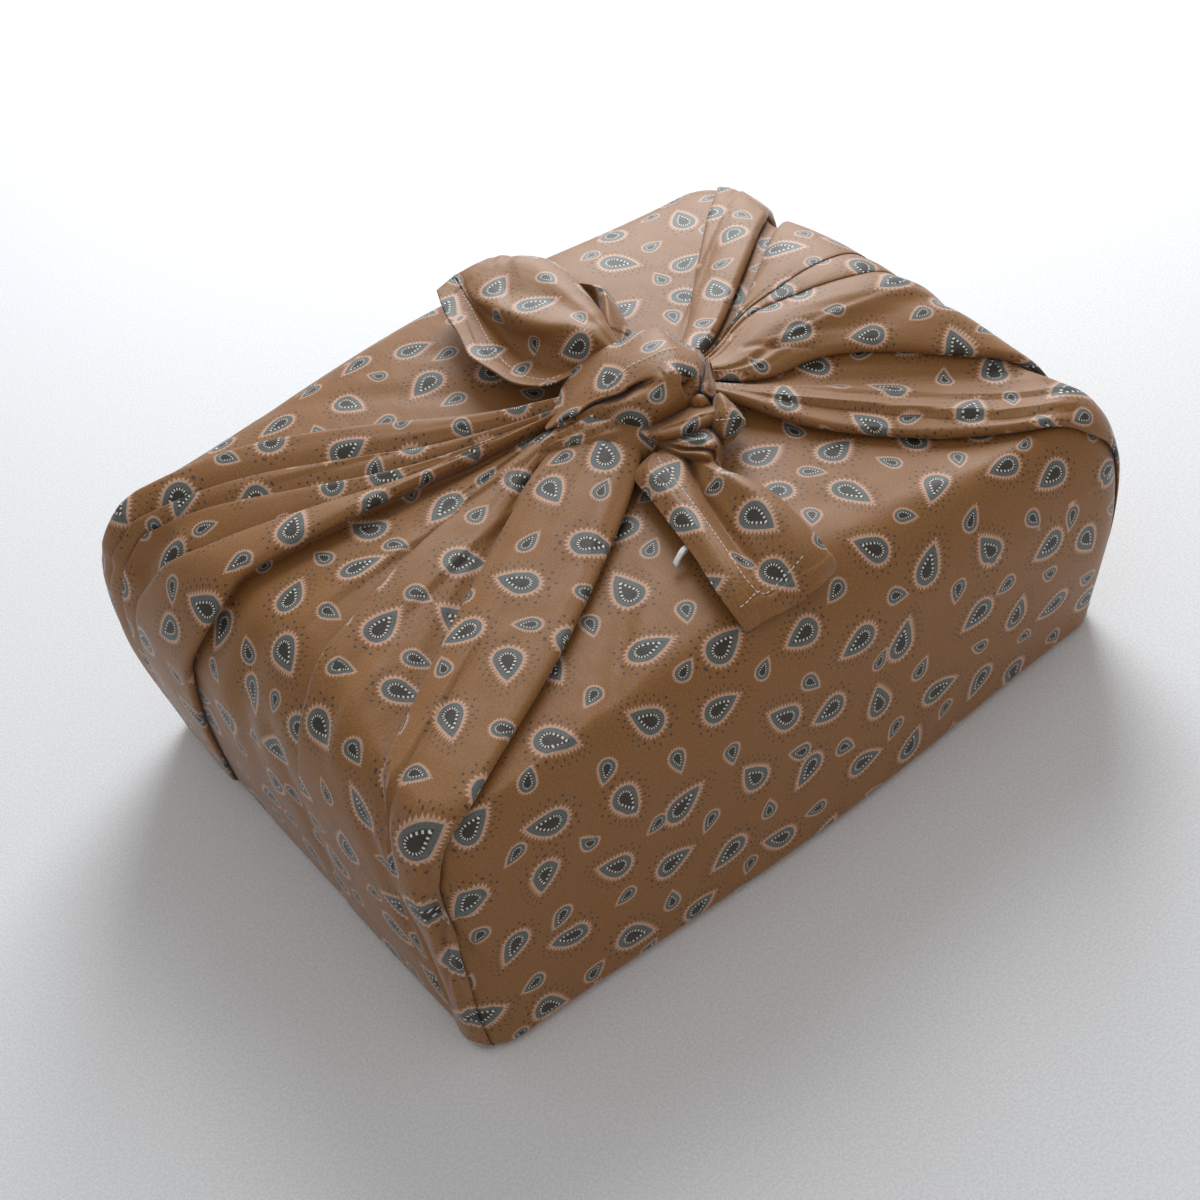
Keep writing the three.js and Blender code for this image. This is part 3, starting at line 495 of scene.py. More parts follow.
# Each folded band: its net, its creases, its dimples, the depth of its closing points in
# millimetres, its columns of points for each column of the net, the columns of the net from which
# its cloth is laid flat, the column of its fold, and a seed.
FOLDED_BANDS = {
    "over_band": (OVER_BAND, OVER_CREASES, OVER_DIMPLES, 9, 15, (2, 6), 3, 2),
    "under_roll": (UNDER_ROLL, UNDER_CREASES, (), 4, 11, (2,), None, 3),
    "lower_roll": (LOWER_ROLL, LOWER_CREASES, (), 4, 11, (2, 5), 3, 4),
    "side_loop": (SIDE_LOOP, LOOP_CREASES, (), 3, 11, (2,), None, 8),
    "right_fold": (RIGHT_FOLD, (), (), 3, 11, (2,), None, 9),
}
# Each free end: its name among the stitch lines, its net, whether its first column is the hemmed
# one, the column of points from which its cloth is laid flat, its flat size in metres and a seed.
FREE_ENDS = {
    "front_end": ("front", FRONT_END, True, 90, (0.058, 0.095), 5),
    "back_end": ("back", BACK_END, False, 52, (0.075, 0.1), 7),
    "back_corner": ("corner", BACK_CORNER, False, 40, (0.033, 0.035), 13),
}


def named(columns, row):
    """A table row as a dict of its named columns."""
    return dict(zip(columns, row))


# ---- Settings ----
def length_setting(name, description, default):
    """A length in metres."""
    return bpy.props.FloatProperty(
        name=name, description=description, default=default, unit="LENGTH"
    )


def colour_setting(name, description, default):
    """A linear colour."""
    return bpy.props.FloatVectorProperty(
        name=name, description=description, default=default, subtype="COLOR"
    )


def light_setting(name, description, default):
    """A light's power or strength."""
    return bpy.props.FloatProperty(name=name, description=description, default=default)


class ParcelSizes(bpy.types.PropertyGroup):
    """Sizes of the wrapped carton."""

    length: length_setting("Length", "Length of the parcel", 0.340)
    depth: length_setting("Depth", "Depth of the parcel", 0.252)
    height: length_setting("Height", "Height at the lid's edge", 0.125)
    corner: length_setting("Corner", "Radius of the upright corners", 0.016)
    foot: length_setting("Foot", "Radius at the foot", 0.006)
    dome: length_setting("Dome", "Rise of the cloth at the knot", 0.013)
    neck_lift: length_setting("Neck lift", "Rise of the pleats into the knot", 0.009)
    rows: bpy.props.IntProperty(
        name="Rows", description="Rows of faces from the knot to the foot", default=186
    )


class ClothLook(bpy.types.PropertyGroup):
    """Colours and scale of the printed cotton."""

    ground: colour_setting("Ground", "Colour of the cloth", (0.275, 0.116, 0.027))
    halo: colour_setting("Halo", "Rayed rim round a motif", (0.56, 0.33, 0.22))
    ring: colour_setting("Ring", "Body of a motif", (0.115, 0.125, 0.115))
    heart: colour_setting("Heart", "Dark middle of a motif", (0.035, 0.028, 0.02))
    dash: colour_setting("Dash", "Pale dashes round the middle", (0.80, 0.74, 0.62))
    speck: colour_setting("Speck", "Dark specks outside the rim", (0.06, 0.04, 0.028))
    thread: colour_setting("Thread", "Stitching thread", (0.8, 0.74, 0.66))
    tape: colour_setting("Tape", "Tab sewn in the hem", (0.78, 0.75, 0.7))
    spacing: length_setting("Spacing", "Distance between large motifs", 0.0315)
    motif: length_setting("Motif", "Length of a large motif", 0.0160)
    small_motif: length_setting("Small motif", "Length of a small motif", 0.0096)
    weave: length_setting("Weave", "Distance between threads", 0.00055)


class StageLook(bpy.types.PropertyGroup):
    """The floor, the lights and the surroundings."""

    floor: colour_setting("Floor", "Colour of the floor", (0.82, 0.82, 0.82))
    window: light_setting("Window", "Power of the large soft light, in watts", 18.0)
    fill: light_setting("Fill", "Power of the fill light, in watts", 1.5)
    ceiling: light_setting("Ceiling", "Power of the light overhead, in watts", 1.5)
    sky: light_setting("Sky", "Strength of the surrounding light", 0.42)


def sizes():
    """The parcel's sizes in this scene."""
    return bpy.context.scene.parcel_sizes


def cloth_look():
    """The cloth's colours and scale in this scene."""
    return bpy.context.scene.cloth_look


def stage_look():
    """The floor's colour and the lights' powers in this scene."""
    return bpy.context.scene.stage_look


# ---- Small helpers ----
def ease(share):
    """Smooth step: three times the share's square less twice its cube."""
    return share * share * (3 - 2 * share)


def through(places, values, at):
    """Smooth curve through the values at their places, a cubic between each two: the slope at a
    value is that of the line from the value before it to the value after it."""
    places = np.asarray(places, float)
    values = np.asarray(values, float)
    after = np.minimum(np.arange(len(places)) + 1, len(places) - 1)
    before = np.maximum(np.arange(len(places)) - 1, 0)
    gap = (places[after] - places[before]).reshape((-1,) + (1,) * (values.ndim - 1))
    slopes = (values[after] - values[before]) / gap
    at = np.clip(at, places[0], places[-1])
    k = np.clip(np.searchsorted(places, at, side="right") - 1, 0, len(places) - 2)
    span = places[k + 1] - places[k]
    t = (at - places[k]) / span
    extra = (1,) * (values.ndim - 1)
    t = t.reshape(t.shape + extra)
    span = span.reshape(span.shape + extra)
    ahead = (1 + 2 * t) * (1 - t) ** 2 * values[k] + t * t * (3 - 2 * t) * values[k + 1]
    bend = t * (1 - t) ** 2 * slopes[k] + t * t * (t - 1) * slopes[k + 1]
    return ahead + span * bend


def lattice_noise(across, along, seed):
    """Soft hills between -1 and 1: seeded random values on a unit lattice, eased between."""
    values = np.random.default_rng(seed).uniform(-1, 1, (NOISE_CELLS, NOISE_CELLS))
    i = np.floor(across).astype(int)
    j = np.floor(along).astype(int)
    u = ease(across - i)
    v = ease(along - j)

    def corner(right, up):
        return values[(i + right) % NOISE_CELLS, (j + up) % NOISE_CELLS]

    low = corner(0, 0) * (1 - u) + corner(1, 0) * u
    high = corner(0, 1) * (1 - u) + corner(1, 1) * u
    return low * (1 - v) + high * v


def unit(vectors):
    """Vectors scaled to length one."""
    return vectors / np.maximum(np.linalg.norm(vectors, axis=-1, keepdims=True), 1e-12)


# ---- The smooth body under the pleats ----
def rim_size(column, turn):
    """A size from the rim table at any turn, eased between the table's rows. Metres."""
    values = np.array([row[RIM_COLUMNS.index(column)] for row in RIM]) * MM
    place = np.mod(turn, 4) * 2
    row = np.floor(place).astype(int)
    share = ease(place - row)
    return values[row % len(RIM)] * (1 - share) + values[(row + 1) % len(RIM)] * share


def outline(turn):
    """The parcel in plan, a rectangle with round corners: points and outward normals. A turn is
    one side, from the middle of a corner to the middle of the next, at an even pace. The side is
    worked out as if it were the front one and then turned by quarter turns."""
    parcel = sizes()
    around = np.mod(turn, 4)
    side = np.floor(around + 1e-9)
    share = around - side
    side = np.mod(side, 4)
    odd = np.mod(side, 2) == 1
    across = np.where(odd, parcel.depth, parcel.length)
    away = np.where(odd, parcel.length, parcel.depth)
    arc = parcel.corner * math.pi / 4
    straight = across - 2 * parcel.corner
    distance = share * (straight + 2 * arc)
    angle = np.where(distance < arc, distance / parcel.corner - math.pi / 4, 0.0)
    past = distance > arc + straight
    angle = np.where(past, (distance - arc - straight) / parcel.corner, angle)
    normal = np.stack([np.sin(angle), -np.cos(angle)], -1)
    along = np.clip(distance - arc, 0, straight) - straight / 2
    start = np.stack([along, parcel.corner - away / 2], -1)
    point = start + normal * parcel.corner
    cos, sin = np.cos(side * math.pi / 2), np.sin(side * math.pi / 2)

    def turned(v):
        x, y = v[..., 0], v[..., 1]
        return np.stack([x * cos - y * sin, x * sin + y * cos], -1)

    return turned(point), turned(normal)


def body_point(turn, place):
    """The smooth body. Lines of one turn leave the knot, cross the domed top, round the edge on a
    superellipse and drop down the side to the rounded foot. The top rises by the crown times
    share^2 (1 - share^4) and by the dome times (1 - share^2)^2, where share is the distance from
    the knot as a share of the whole. A side swells by a sine of its level, raised to a power."""
    turn, place = np.broadcast_arrays(np.asarray(turn, float), np.asarray(place, float))
    parcel = sizes()
    edge, normal = outline(turn)
    edge = edge + normal * rim_size("bow", turn)[..., None]
    reach = rim_size("reach", turn)
    drop = rim_size("drop", turn)
    radial = edge - KNOT_PLACE
    length = np.linalg.norm(radial, axis=-1)
    rounding = np.clip(place - 1, 0, 1) * math.pi / 2
    power = 2 / EDGE_POWER
    distance = (length - reach) * np.clip(place, 0, 1) + reach * np.sin(rounding) ** power
    share = distance / length
    z = parcel.height - drop + drop * np.maximum(np.cos(rounding), 0) ** power
    z = z + rim_size("crown", turn) * CROWN_PEAK * share**2 * (1 - share**4)
    z = z + parcel.dome * (1 - share**2) ** 2
    fall = np.clip((place - 2) / (FOOT_START - 2), 0, 1)
    z = np.where(place > 2, (parcel.height - drop) * (1 - fall) + parcel.foot * fall, z)
    angle = np.clip((place - FOOT_START) / (3 - FOOT_START), 0, 1) * math.pi / 2
    z = np.where(place > FOOT_START, parcel.foot * (1 - np.sin(angle)), z)
    inset = parcel.foot * (1 - np.cos(angle))
    level = np.clip(z / parcel.height, 0, 1)
    swell = rim_size("bulge", turn) * np.sin(math.pi * level**SWELL_POWER)
    swell = swell * np.clip(place - 1, 0, 1)
    tip = rim_size("lean", turn) * level * share**3
    flat = KNOT_PLACE + radial * share[..., None] + normal * (swell + tip - inset)[..., None]
    return np.concatenate([flat, z[..., None]], -1)


def body_frame(turn, place):
    """Along the body at a point: metres per turn, metres per station, and the outward normal,
    which is level on the sides so that nothing is pushed under the floor."""
    step = 0.004
    low = np.maximum(place - step, 0.002)
    span = (place + step - low)[..., None]
    per_station = (body_point(turn, place + step) - body_point(turn, low)) / span
    per_turn = (body_point(turn + step, place) - body_point(turn - step, place)) / (2 * step)
    normal = unit(np.cross(per_station, per_turn))
    level = np.concatenate([outline(turn)[1], np.zeros(np.shape(turn) + (1,))], -1)
    side = np.clip((place - LEVEL_START) / (LEVEL_END - LEVEL_START), 0, 1)
    side = ease(side)[..., None]
    return per_turn, per_station, unit(normal * (1 - side) + level * side)


# ---- Pleats ----
def fold_turn(fold, place, seed):
    """The turn of a fold line at each station, with a slight wander of a few tenths of a
    millimetre to a millimetre, made of two sine waves."""
    row = named(FOLD_COLUMNS, fold)
    wave = np.sin(place * 7.3 + seed * 2.1) + 0.5 * np.sin(place * 15.1 + seed * 4.7)
    speed = 0.3 * np.clip(place, 0.1, 1)
    return through(STATIONS, row["turns"], place) + row["wander"] * MM * wave / speed


def pleat_share(hold, place):
    """The share of a panel's height left at each station, on a smooth curve through the table."""
    return through(PLEAT_PLACES, (*PLEAT_SHARES, hold, hold * FOOT_HOLD), place)


def crease_profile(sideways, width, crisp, drop):
    """Height across a crease, 1 at its line. A soft crease is a bell curve. A crisp one is a lap:
    it rises slowly on the left, drops in a short distance and leaves a hollow on the right that
    fills again."""
    bell = np.exp(-((sideways / width) ** 2))
    left = np.exp(np.minimum(sideways, 0) / width)
    right = -CREASE_HOLLOW * np.exp(-np.maximum(sideways, 0) / width)
    fall = ease(np.clip(sideways / drop + 0.5, 0, 1))
    return bell * (1 - crisp) + (left * (1 - fall) + right * fall) * crisp


def beside_line(x, y, run_x, run_y, bow):
    """Where points at x, y are beside a line from the origin: how far along it they are, as a
    share of its run, the nearest share on the line itself, and their distance to the right of it
    when it is bowed on a parabola. Also the line's length."""
    length = np.hypot(run_x, run_y)
    share = (x * run_x + y * run_y) / length**2
    inside = np.clip(share, 0, 1)
    aside = (x * run_y - y * run_x) / length - bow * 4 * inside * (1 - inside)
    return share, inside, aside, length


def crease_height(turn, place, per_turn, per_station):
    """The sum of the creases: each is a profile of the distance to its bowed line, measured on
    the surface, and dies away at its two ends."""
    across_size = np.linalg.norm(per_turn, axis=-1)
    along_size = np.linalg.norm(per_station, axis=-1)
    total = np.zeros(np.shape(turn))
    for row in CREASES.values():
        crease = named(CREASE_COLUMNS, row)
        x = (np.mod(turn - crease["turn_a"] + 2, 4) - 2) * across_size
        y = (place - crease["place_a"]) * along_size
        run_x = (crease["turn_b"] - crease["turn_a"]) * across_size
        run_y = (crease["place_b"] - crease["place_a"]) * along_size
        share, _, aside, _ = beside_line(x, y, run_x, run_y, crease["bow"] * MM)
        fade = ease(np.clip(share / CREASE_END, 0, 1))
        fade = fade * ease(np.clip((1 - share) / CREASE_END, 0, 1))
        profile = crease_profile(aside, crease["width"] * MM, crease["crisp"], BODY_DROP)
        total += crease["height"] * MM * profile * fade
    return total


def row_places():
    """Stations of the rows of faces, on straight lines between those of the table."""
    return np.interp(np.linspace(0, 1, sizes().rows), ROW_SHARES, ROW_PLACES)


class Side:
    """The two panel edges that meet at a fold line: which of them laps over, the radius of its
    lip, which follows the step between them, and how far the other runs in under it."""

    def __init__(self, fold_name, step_height):
        row = named(FOLD_COLUMNS, FOLDS[fold_name])
        self.over = row["over"]
        lip = (step_height - STEP_SLACK) * LIP_OF_STEP
        self.radius = np.clip(lip, LIP_LEAST, row["lip"] * MM)
        self.tuck = row["tuck"] * MM


def lip_columns(side, sign, at, top, under, width):
    """Columns of one lapping edge, from the top of the roll to the hidden valley: a half ellipse
    of the lip's radius, then a straight run back under the panel. Each column is its place when
    the cloth lies flat, its real place and its height."""
    reach = np.minimum(side.radius * LIP_REACH, LIP_WIDEST * width)
    run = np.minimum(side.tuck, TUCK_WIDEST * width)
    columns = []
    around = np.zeros_like(width)
    for k in range(1, LIP_CELLS + 1):
        angle = math.pi * k / LIP_CELLS
        x = at + sign * reach * (math.sin(angle) - 1)
        z = top - side.radius * (1 - math.cos(angle))
        pace = np.sqrt((reach * math.cos(angle)) ** 2 + (side.radius * math.sin(angle)) ** 2)
        around = around + math.pi / LIP_CELLS * pace
        columns.append((at + sign * (around - reach), x, z))
    last_flat, last_x, last_z = columns[-1]
    valley = at - sign * np.maximum(run, reach * TUCK_LEAST)
    for k in range(1, TUCK_CELLS + 1):
        part = k / TUCK_CELLS
        x = last_x * (1 - part) + valley * part
        z = last_z * (1 - part) + under * part
        columns.append((last_flat + sign * part * run, x, z))
    return reach, columns


def edge_columns(side, sign, at, top, under, width, hidden_run):
    """Columns beyond one edge of a panel's top, and how far the top stops short of that edge. A
    lapping edge has a lip, and a lapped one runs straight on under its neighbour."""
    if side.over * sign < 0:
        return lip_columns(side, sign, at, top, under, width)
    places = [at + sign * hidden_run * k / TUCK_CELLS for k in range(1, TUCK_CELLS + 1)]
    return np.zeros_like(width), [(x, x, top) for x in places]


def panel_block(number, place, turns, unders, sides, runs):
    """One panel as columns of points: its top, which swells between its two edges, and beyond
    each edge its lip or its hidden run. turns, unders, sides and runs each hold a value for the
    left and the right edge. Returns the points and the same cloth laid on the smooth body."""
    name, panel = list(PANELS.items())[number]
    row = named(PANEL_COLUMNS, panel)
    speed = np.linalg.norm(body_frame((turns[0] + turns[1]) / 2, place)[0], axis=-1)
    width = (turns[1] - turns[0]) * speed
    share_left = pleat_share(row["hold"], place)
    top_start = row["start"] * MM * share_left
    top_end = row["end"] * MM * share_left
    nothing = np.zeros_like(width)
    left, before = edge_columns(sides[0], -1, nothing, top_start, unders[0], width, runs[0])
    right, beyond = edge_columns(sides[1], 1, width, top_end, unders[1], width, runs[1])
    gathered = name not in FLAPS
    even = np.linspace(0, 1, row["cells"] + 1)
    spread = even if gathered else 0.5 * even + 0.5 * (1 - np.cos(math.pi * even)) / 2
    top = []
    for part in spread:
        x = left + (width - left - right) * part
        q = x / width
        belly = row["belly"] * MM * share_left * 4 * q * (1 - q)
        top.append((x, x, top_start * (1 - q) + top_end * q + belly))
    columns = np.array([*reversed(before), *top, *beyond])
    flat, real, height = columns.transpose(1, 2, 0)
    rows = np.broadcast_to(place[:, None], real.shape)
    turn = turns[0][:, None] + real / speed[:, None]
    flat_turn = turns[0][:, None] + flat / speed[:, None]
    per_turn, per_station, normal = body_frame(turn, rows)
    q = np.clip(real / width[:, None], 0, 1)
    streak = lattice_noise(q * row["cells"] / 3 + number * 7.7, rows * STREAK_RATE, number)
    close = np.exp(-((rows / STREAK_REACH) ** 2)) + STREAK_LEFT
    height = height + row["streak"] * MM * streak * close * pleat_share(0.5, rows)
    height = height + crease_height(turn, rows, per_turn, per_station)
    point = body_point(turn, rows) + normal * height[..., None]
    if gathered:
        point[..., 2] += sizes().neck_lift * np.exp(-((rows / NECK_SPREAD) ** 2))
    return point, body_point(flat_turn, rows)


def body_blocks():
    """All panels of the body, in order round the parcel, each with its points and the points of
    the same cloth laid on the smooth body. After the last panel comes the first, a lap on."""
    place = row_places()
    count = len(PANELS)
    turns = [fold_turn(fold, place, k) for k, fold in enumerate(FOLDS.values())]
    turns.append(turns[0] + 4)
    panels = [named(PANEL_COLUMNS, row) for row in PANELS.values()]
    shares = [pleat_share(panel["hold"], place) for panel in panels]
    starts = [panel["start"] * MM * share for panel, share in zip(panels, shares)]
    ends = [panel["end"] * MM * share for panel, share in zip(panels, shares)]
    sides = [Side(fold, np.abs(starts[k] - ends[k - 1])) for k, fold in enumerate(FOLDS)]
    widths = []
    for start, end in zip(turns, turns[1:]):
        speed = np.linalg.norm(body_frame((start + end) / 2, place)[0], axis=-1)
        widths.append((end - start) * speed)
    blocks = []
    for k in range(count):
        after = (k + 1) % count
        runs = (
            np.minimum(sides[k].tuck, TUCK_WIDEST * widths[k - 1]),
            np.minimum(sides[after].tuck, TUCK_WIDEST * widths[after]),
        )
        unders = (ends[k - 1], starts[after])
        edges = (sides[k], sides[after])
        blocks.append(panel_block(k, place, turns[k : k + 2], unders, edges, runs))
    return blocks


# ---- Laying cloth flat ----
def lay_flat(points, centre=None):
    """Texture coordinates in metres for a grid of points. Its centre column is developed first:
    it keeps its lengths and its sideways bends. Each row is then developed from there in both
    directions in the same way, so the print keeps its size and isn't sheared."""
    if centre is None:
        centre = points.shape[1] // 2
    along = np.gradient(points, axis=0)
    across = np.gradient(points, axis=1)
    normal = unit(np.cross(along, across))

    def bends(steps, normals):
        cross = np.cross(steps[..., :-1, :], steps[..., 1:, :])
        sideways = (cross * normals).sum(-1)
        return np.arctan2(sideways, (steps[..., :-1, :] * steps[..., 1:, :]).sum(-1))

    def developed(steps, normals, heading):
        """Ends of the steps, laid end to end in the plane from a first heading."""
        turning = np.cumsum(bends(steps, normals), axis=-1)
        turned = np.concatenate([np.zeros_like(turning[..., :1]), turning], -1)
        headings = heading[..., None] + turned
        lengths = np.linalg.norm(steps, axis=-1)
        moves = np.stack([np.cos(headings), np.sin(headings)], -1) * lengths[..., None]
        return np.cumsum(moves, axis=-2), headings

    spine = np.diff(points[:, centre], axis=0)[None]
    moves, headings = developed(spine, normal[None, 1:-1, centre], np.array([0.0]))
    spine_flat = np.concatenate([np.zeros((1, 2)), moves[0]])
    spine_heading = np.concatenate([headings[0], headings[0, -1:]])
    flat = np.zeros(points.shape[:2] + (2,))
    flat[:, centre] = spine_flat
    forward = unit(along[:, centre])
    for sign in (1, -1):
        line = points[:, centre:] if sign > 0 else points[:, centre::-1]
        lined = normal[:, centre:] if sign > 0 else normal[:, centre::-1]
        if line.shape[1] < 3:
            continue
        steps = np.diff(line, axis=1)
        first = unit(steps[:, 0])
        sideways = (np.cross(forward, first) * normal[:, centre]).sum(-1)
        angle = np.arctan2(sideways, (forward * first).sum(-1))
        laid, _ = developed(steps, lined[:, 1:-1], spine_heading + angle)
        laid = laid + spine_flat[:, None]
        if sign > 0:
            flat[:, centre + 1 :] = laid
        else:
            flat[:, :centre] = laid[:, ::-1]
    return flat


# ---- Meshes ----
def grid_faces(rows, columns, closed=False):
    """Quads of a grid of points numbered row by row, facing the side from which rows run down
    and columns run to the right."""
    i = np.arange(rows - 1)[:, None]
    j = np.arange(columns if closed else columns - 1)[None, :]
    right = (j + 1) % columns
    here, below = i * columns, (i + 1) * columns
    return np.stack([here + j, below + j, below + right, here + right], -1).reshape(-1, 4)


def end_caps(sides, first_point, last_ring, last_point):
    """Triangles that close a tube of rings on one point at each end. The first ring's points are
    numbered from zero."""
    j = np.arange(sides)
    after = (j + 1) % sides
    first = np.stack([np.full(sides, first_point), j, after], -1)
    last = np.stack([last_ring + j, np.full(sides, last_point), last_ring + after], -1)
    return np.concatenate([first, last])


def make_mesh(name, points, quads, corner_uv, material, triangles=None):
    """A smooth mesh object from points, quads and a texture coordinate for each quad's corner."""
    mesh = bpy.data.meshes.new(name)
    points = np.asarray(points, float).reshape(-1, 3)
    extra = np.zeros((0, 3), int) if triangles is None else np.asarray(triangles, int)
    corners = np.concatenate([quads.ravel(), extra.ravel()])
    mesh.vertices.add(len(points))
    mesh.vertices.foreach_set("co", points.ravel())
    mesh.loops.add(len(corners))
    mesh.loops.foreach_set("vertex_index", corners)
    starts = np.concatenate([np.arange(len(quads)) * 4, quads.size + np.arange(len(extra)) * 3])
    mesh.polygons.add(len(starts))
    mesh.polygons.foreach_set("loop_start", starts)
    uv = mesh.uv_layers.new(name="Cloth")
    values = np.zeros((len(corners), 2))
    values[: quads.size] = np.asarray(corner_uv).reshape(-1, 2)
    uv.data.foreach_set("uv", values.ravel())
    mesh.update()
    mesh.validate()
    mesh.polygons.foreach_set("use_smooth", np.ones(len(mesh.polygons), bool))
    mesh.materials.append(material)
    piece = bpy.data.objects.new(name, mesh)
    bpy.context.collection.objects.link(piece)
    return piece


def set_on_parcel(piece, node="wrap"):
    """The piece rides on the parcel and stands for its node, whose imported part is hidden."""
    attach(piece, BODY)
    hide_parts(node)
    return piece


def body_mesh():
    """The body as one closed surface: its panels side by side, joined at the hidden valleys,
    with a middle point under the knot and rings that close the underside."""
    blocks = body_blocks()
    rows = blocks[0][0].shape[0]
    columns = [block[0].shape[1] - 1 for block in blocks]
    total = sum(columns)
    points = np.concatenate([block[0][:, :-1] for block in blocks], 1)
    first = np.cumsum([0] + columns[:-1])
    quads, uvs = [], []
    for number, (block, start) in enumerate(zip(blocks, first)):
        flat = lay_flat(block[1]) + number * np.array(PRINT_SHIFT)
        wide = block[1].shape[1]
        local = grid_faces(rows, wide)
        i, j = local // wide, local % wide
        quads.append(i * total + (start + j) % total)
        uvs.append(flat.reshape(-1, 2)[local])
    quads = np.concatenate(quads)
    uvs = np.concatenate(uvs)
    under = [points[-1] * np.array([share, share, 0]) for share in UNDERSIDE_RINGS]
    middles = np.stack([body_point(0.0, 0.0), np.zeros(3)])
    everything = np.concatenate([points.reshape(-1, 3), *under, middles])
    base = grid_faces(1 + len(under), total, closed=True) + (rows - 1) * total
    quads = np.concatenate([quads, base])
    uvs = np.concatenate([uvs, everything[base][..., :2]])
    last_ring = (rows - 1 + len(under)) * total
    caps = end_caps(total, len(everything) - 2, last_ring, len(everything) - 1)
    return everything, quads, uvs, caps


class PARCEL_OT_body(bpy.types.Operator):
    """Wrap the carton: flaps front and back, pleats drawn up from both ends"""

    bl_idname = "parcel.body"
    bl_label = "Wrapped body"

    def execute(self, context):
        points, quads, uvs, triangles = body_mesh()
        piece = make_mesh("parcel_body", points, quads, uvs, printed_cotton(), triangles)
        set_on_parcel(piece)
        return {"FINISHED"}


# ---- Bands and free ends ----
def section_frames(rows, steps):
    """Sections along a band: a smooth curve through the table, with its level and upright
    directions turned by the roll."""
    values = np.array(rows, float)
    at = np.linspace(0, len(rows) - 1, steps)
    read = through(np.arange(len(rows)), values, at)
    middle = read[:, :3] * MM
    along = unit(np.gradient(middle, axis=0))
    level = unit(np.cross(along, np.array([0.0, 0.0, 1.0])))
    upright = np.cross(level, along)
    roll = np.radians(read[:, 5])[:, None]
    across = level * np.cos(roll) + upright * np.sin(roll)
    out = upright * np.cos(roll) - level * np.sin(roll)
    return middle, across, out, read[:, 3] * MM, read[:, 4] * MM


def band_surface(rows, steps, sides):
    """A round band: an oval section carried along the table's curve. The first column of points
    is its underside and the middle one its top."""
    middle, across, out, width, thick = section_frames(rows, steps)
    angle = np.arange(sides) * 2 * math.pi / sides - math.pi / 2
    x = np.cos(angle)[None] * width[:, None]
    y = np.sin(angle)[None] * thick[:, None]
    return middle[:, None] + across[:, None] * x[..., None] + out[:, None] * y[..., None]


def smooth_net(net, places, steps, spots):
    """Smooth curves through a net of control points in millimetres, along it and then across it,
    where its columns stand at the places given."""
    along = through(np.arange(len(net)), net, np.linspace(0, len(net) - 1, steps))
    return through(places, along.transpose(1, 0, 2), spots).transpose(1, 0, 2) * MM


def ring_surface(rows, steps, sides, depth):
    """A folded band: smooth closed curves round its net of control points. Two more points close
    each ring below, at a depth in millimetres under the first and the last column."""
    net = np.array(rows, float)
    behind = net[:, -1] + np.array([0.0, -0.3, -1.0]) * depth
    below = net[:, 0] + np.array([0.0, 0.4, -0.7]) * depth
    net = np.concatenate([below[:, None], net, behind[:, None]], 1)
    count = net.shape[1]
    wrapped = np.concatenate([net[:, -2:], net, net[:, :3]], 1)
    spots = np.arange(sides) * count / sides
    return smooth_net(wrapped, np.arange(-2, count + 3), steps, spots)


def grid_normals(points, closed=False):
    """Outward directions of a grid of points, from its two runs of neighbours."""
    down = np.gradient(points, axis=0)
    if closed:
        right = np.roll(points, -1, axis=1) - np.roll(points, 1, axis=1)
    else:
        right = np.gradient(points, axis=1)
    return unit(np.cross(down, right))


def press(points, normals, creases):
    """Creases pressed into whatever faces up, measured in plan from each bowed line and dying
    away at its ends."""
    up = np.clip(normals[..., 2] * 1.6 + 0.2, 0, 1)
    moved = np.zeros(points.shape[:-1])
    for row in creases:
        crease = named(PRESS_COLUMNS, row)
        start = np.array([crease["x_a"], crease["y_a"]]) * MM
        run = np.array([crease["x_b"], crease["y_b"]]) * MM - start
        x = points[..., 0] - start[0]
        y = points[..., 1] - start[1]
        line = beside_line(x, y, run[0], run[1], crease["bow"] * MM)
        share, inside, aside, length = line
        fade = np.exp(-(((share - inside) * length / KNOT_CREASE_PAST) ** 2))
        fade = fade * ease(np.clip(inside / KNOT_CREASE_START, 0, 1))
        fade = fade * ease(np.clip((1 - inside) / KNOT_CREASE_END, 0, 1))
        profile = crease_profile(aside, crease["width"] * MM, crease["crisp"], KNOT_DROP)
        moved += crease["height"] * MM * fade * profile
    return points + normals * (moved * up)[..., None]


def poke(points, normals, dimples):
    """Dimples pushed inwards: each is a bell of the distance from its middle."""
    deep = np.zeros(points.shape[:-1])
    for x, y, z, radius, depth in dimples:
        away = np.linalg.norm(points - np.array([x, y, z]) * MM, axis=-1)
        deep += depth * MM * np.exp(-((away / (radius * MM)) ** 2))
    return points - normals * deep[..., None]


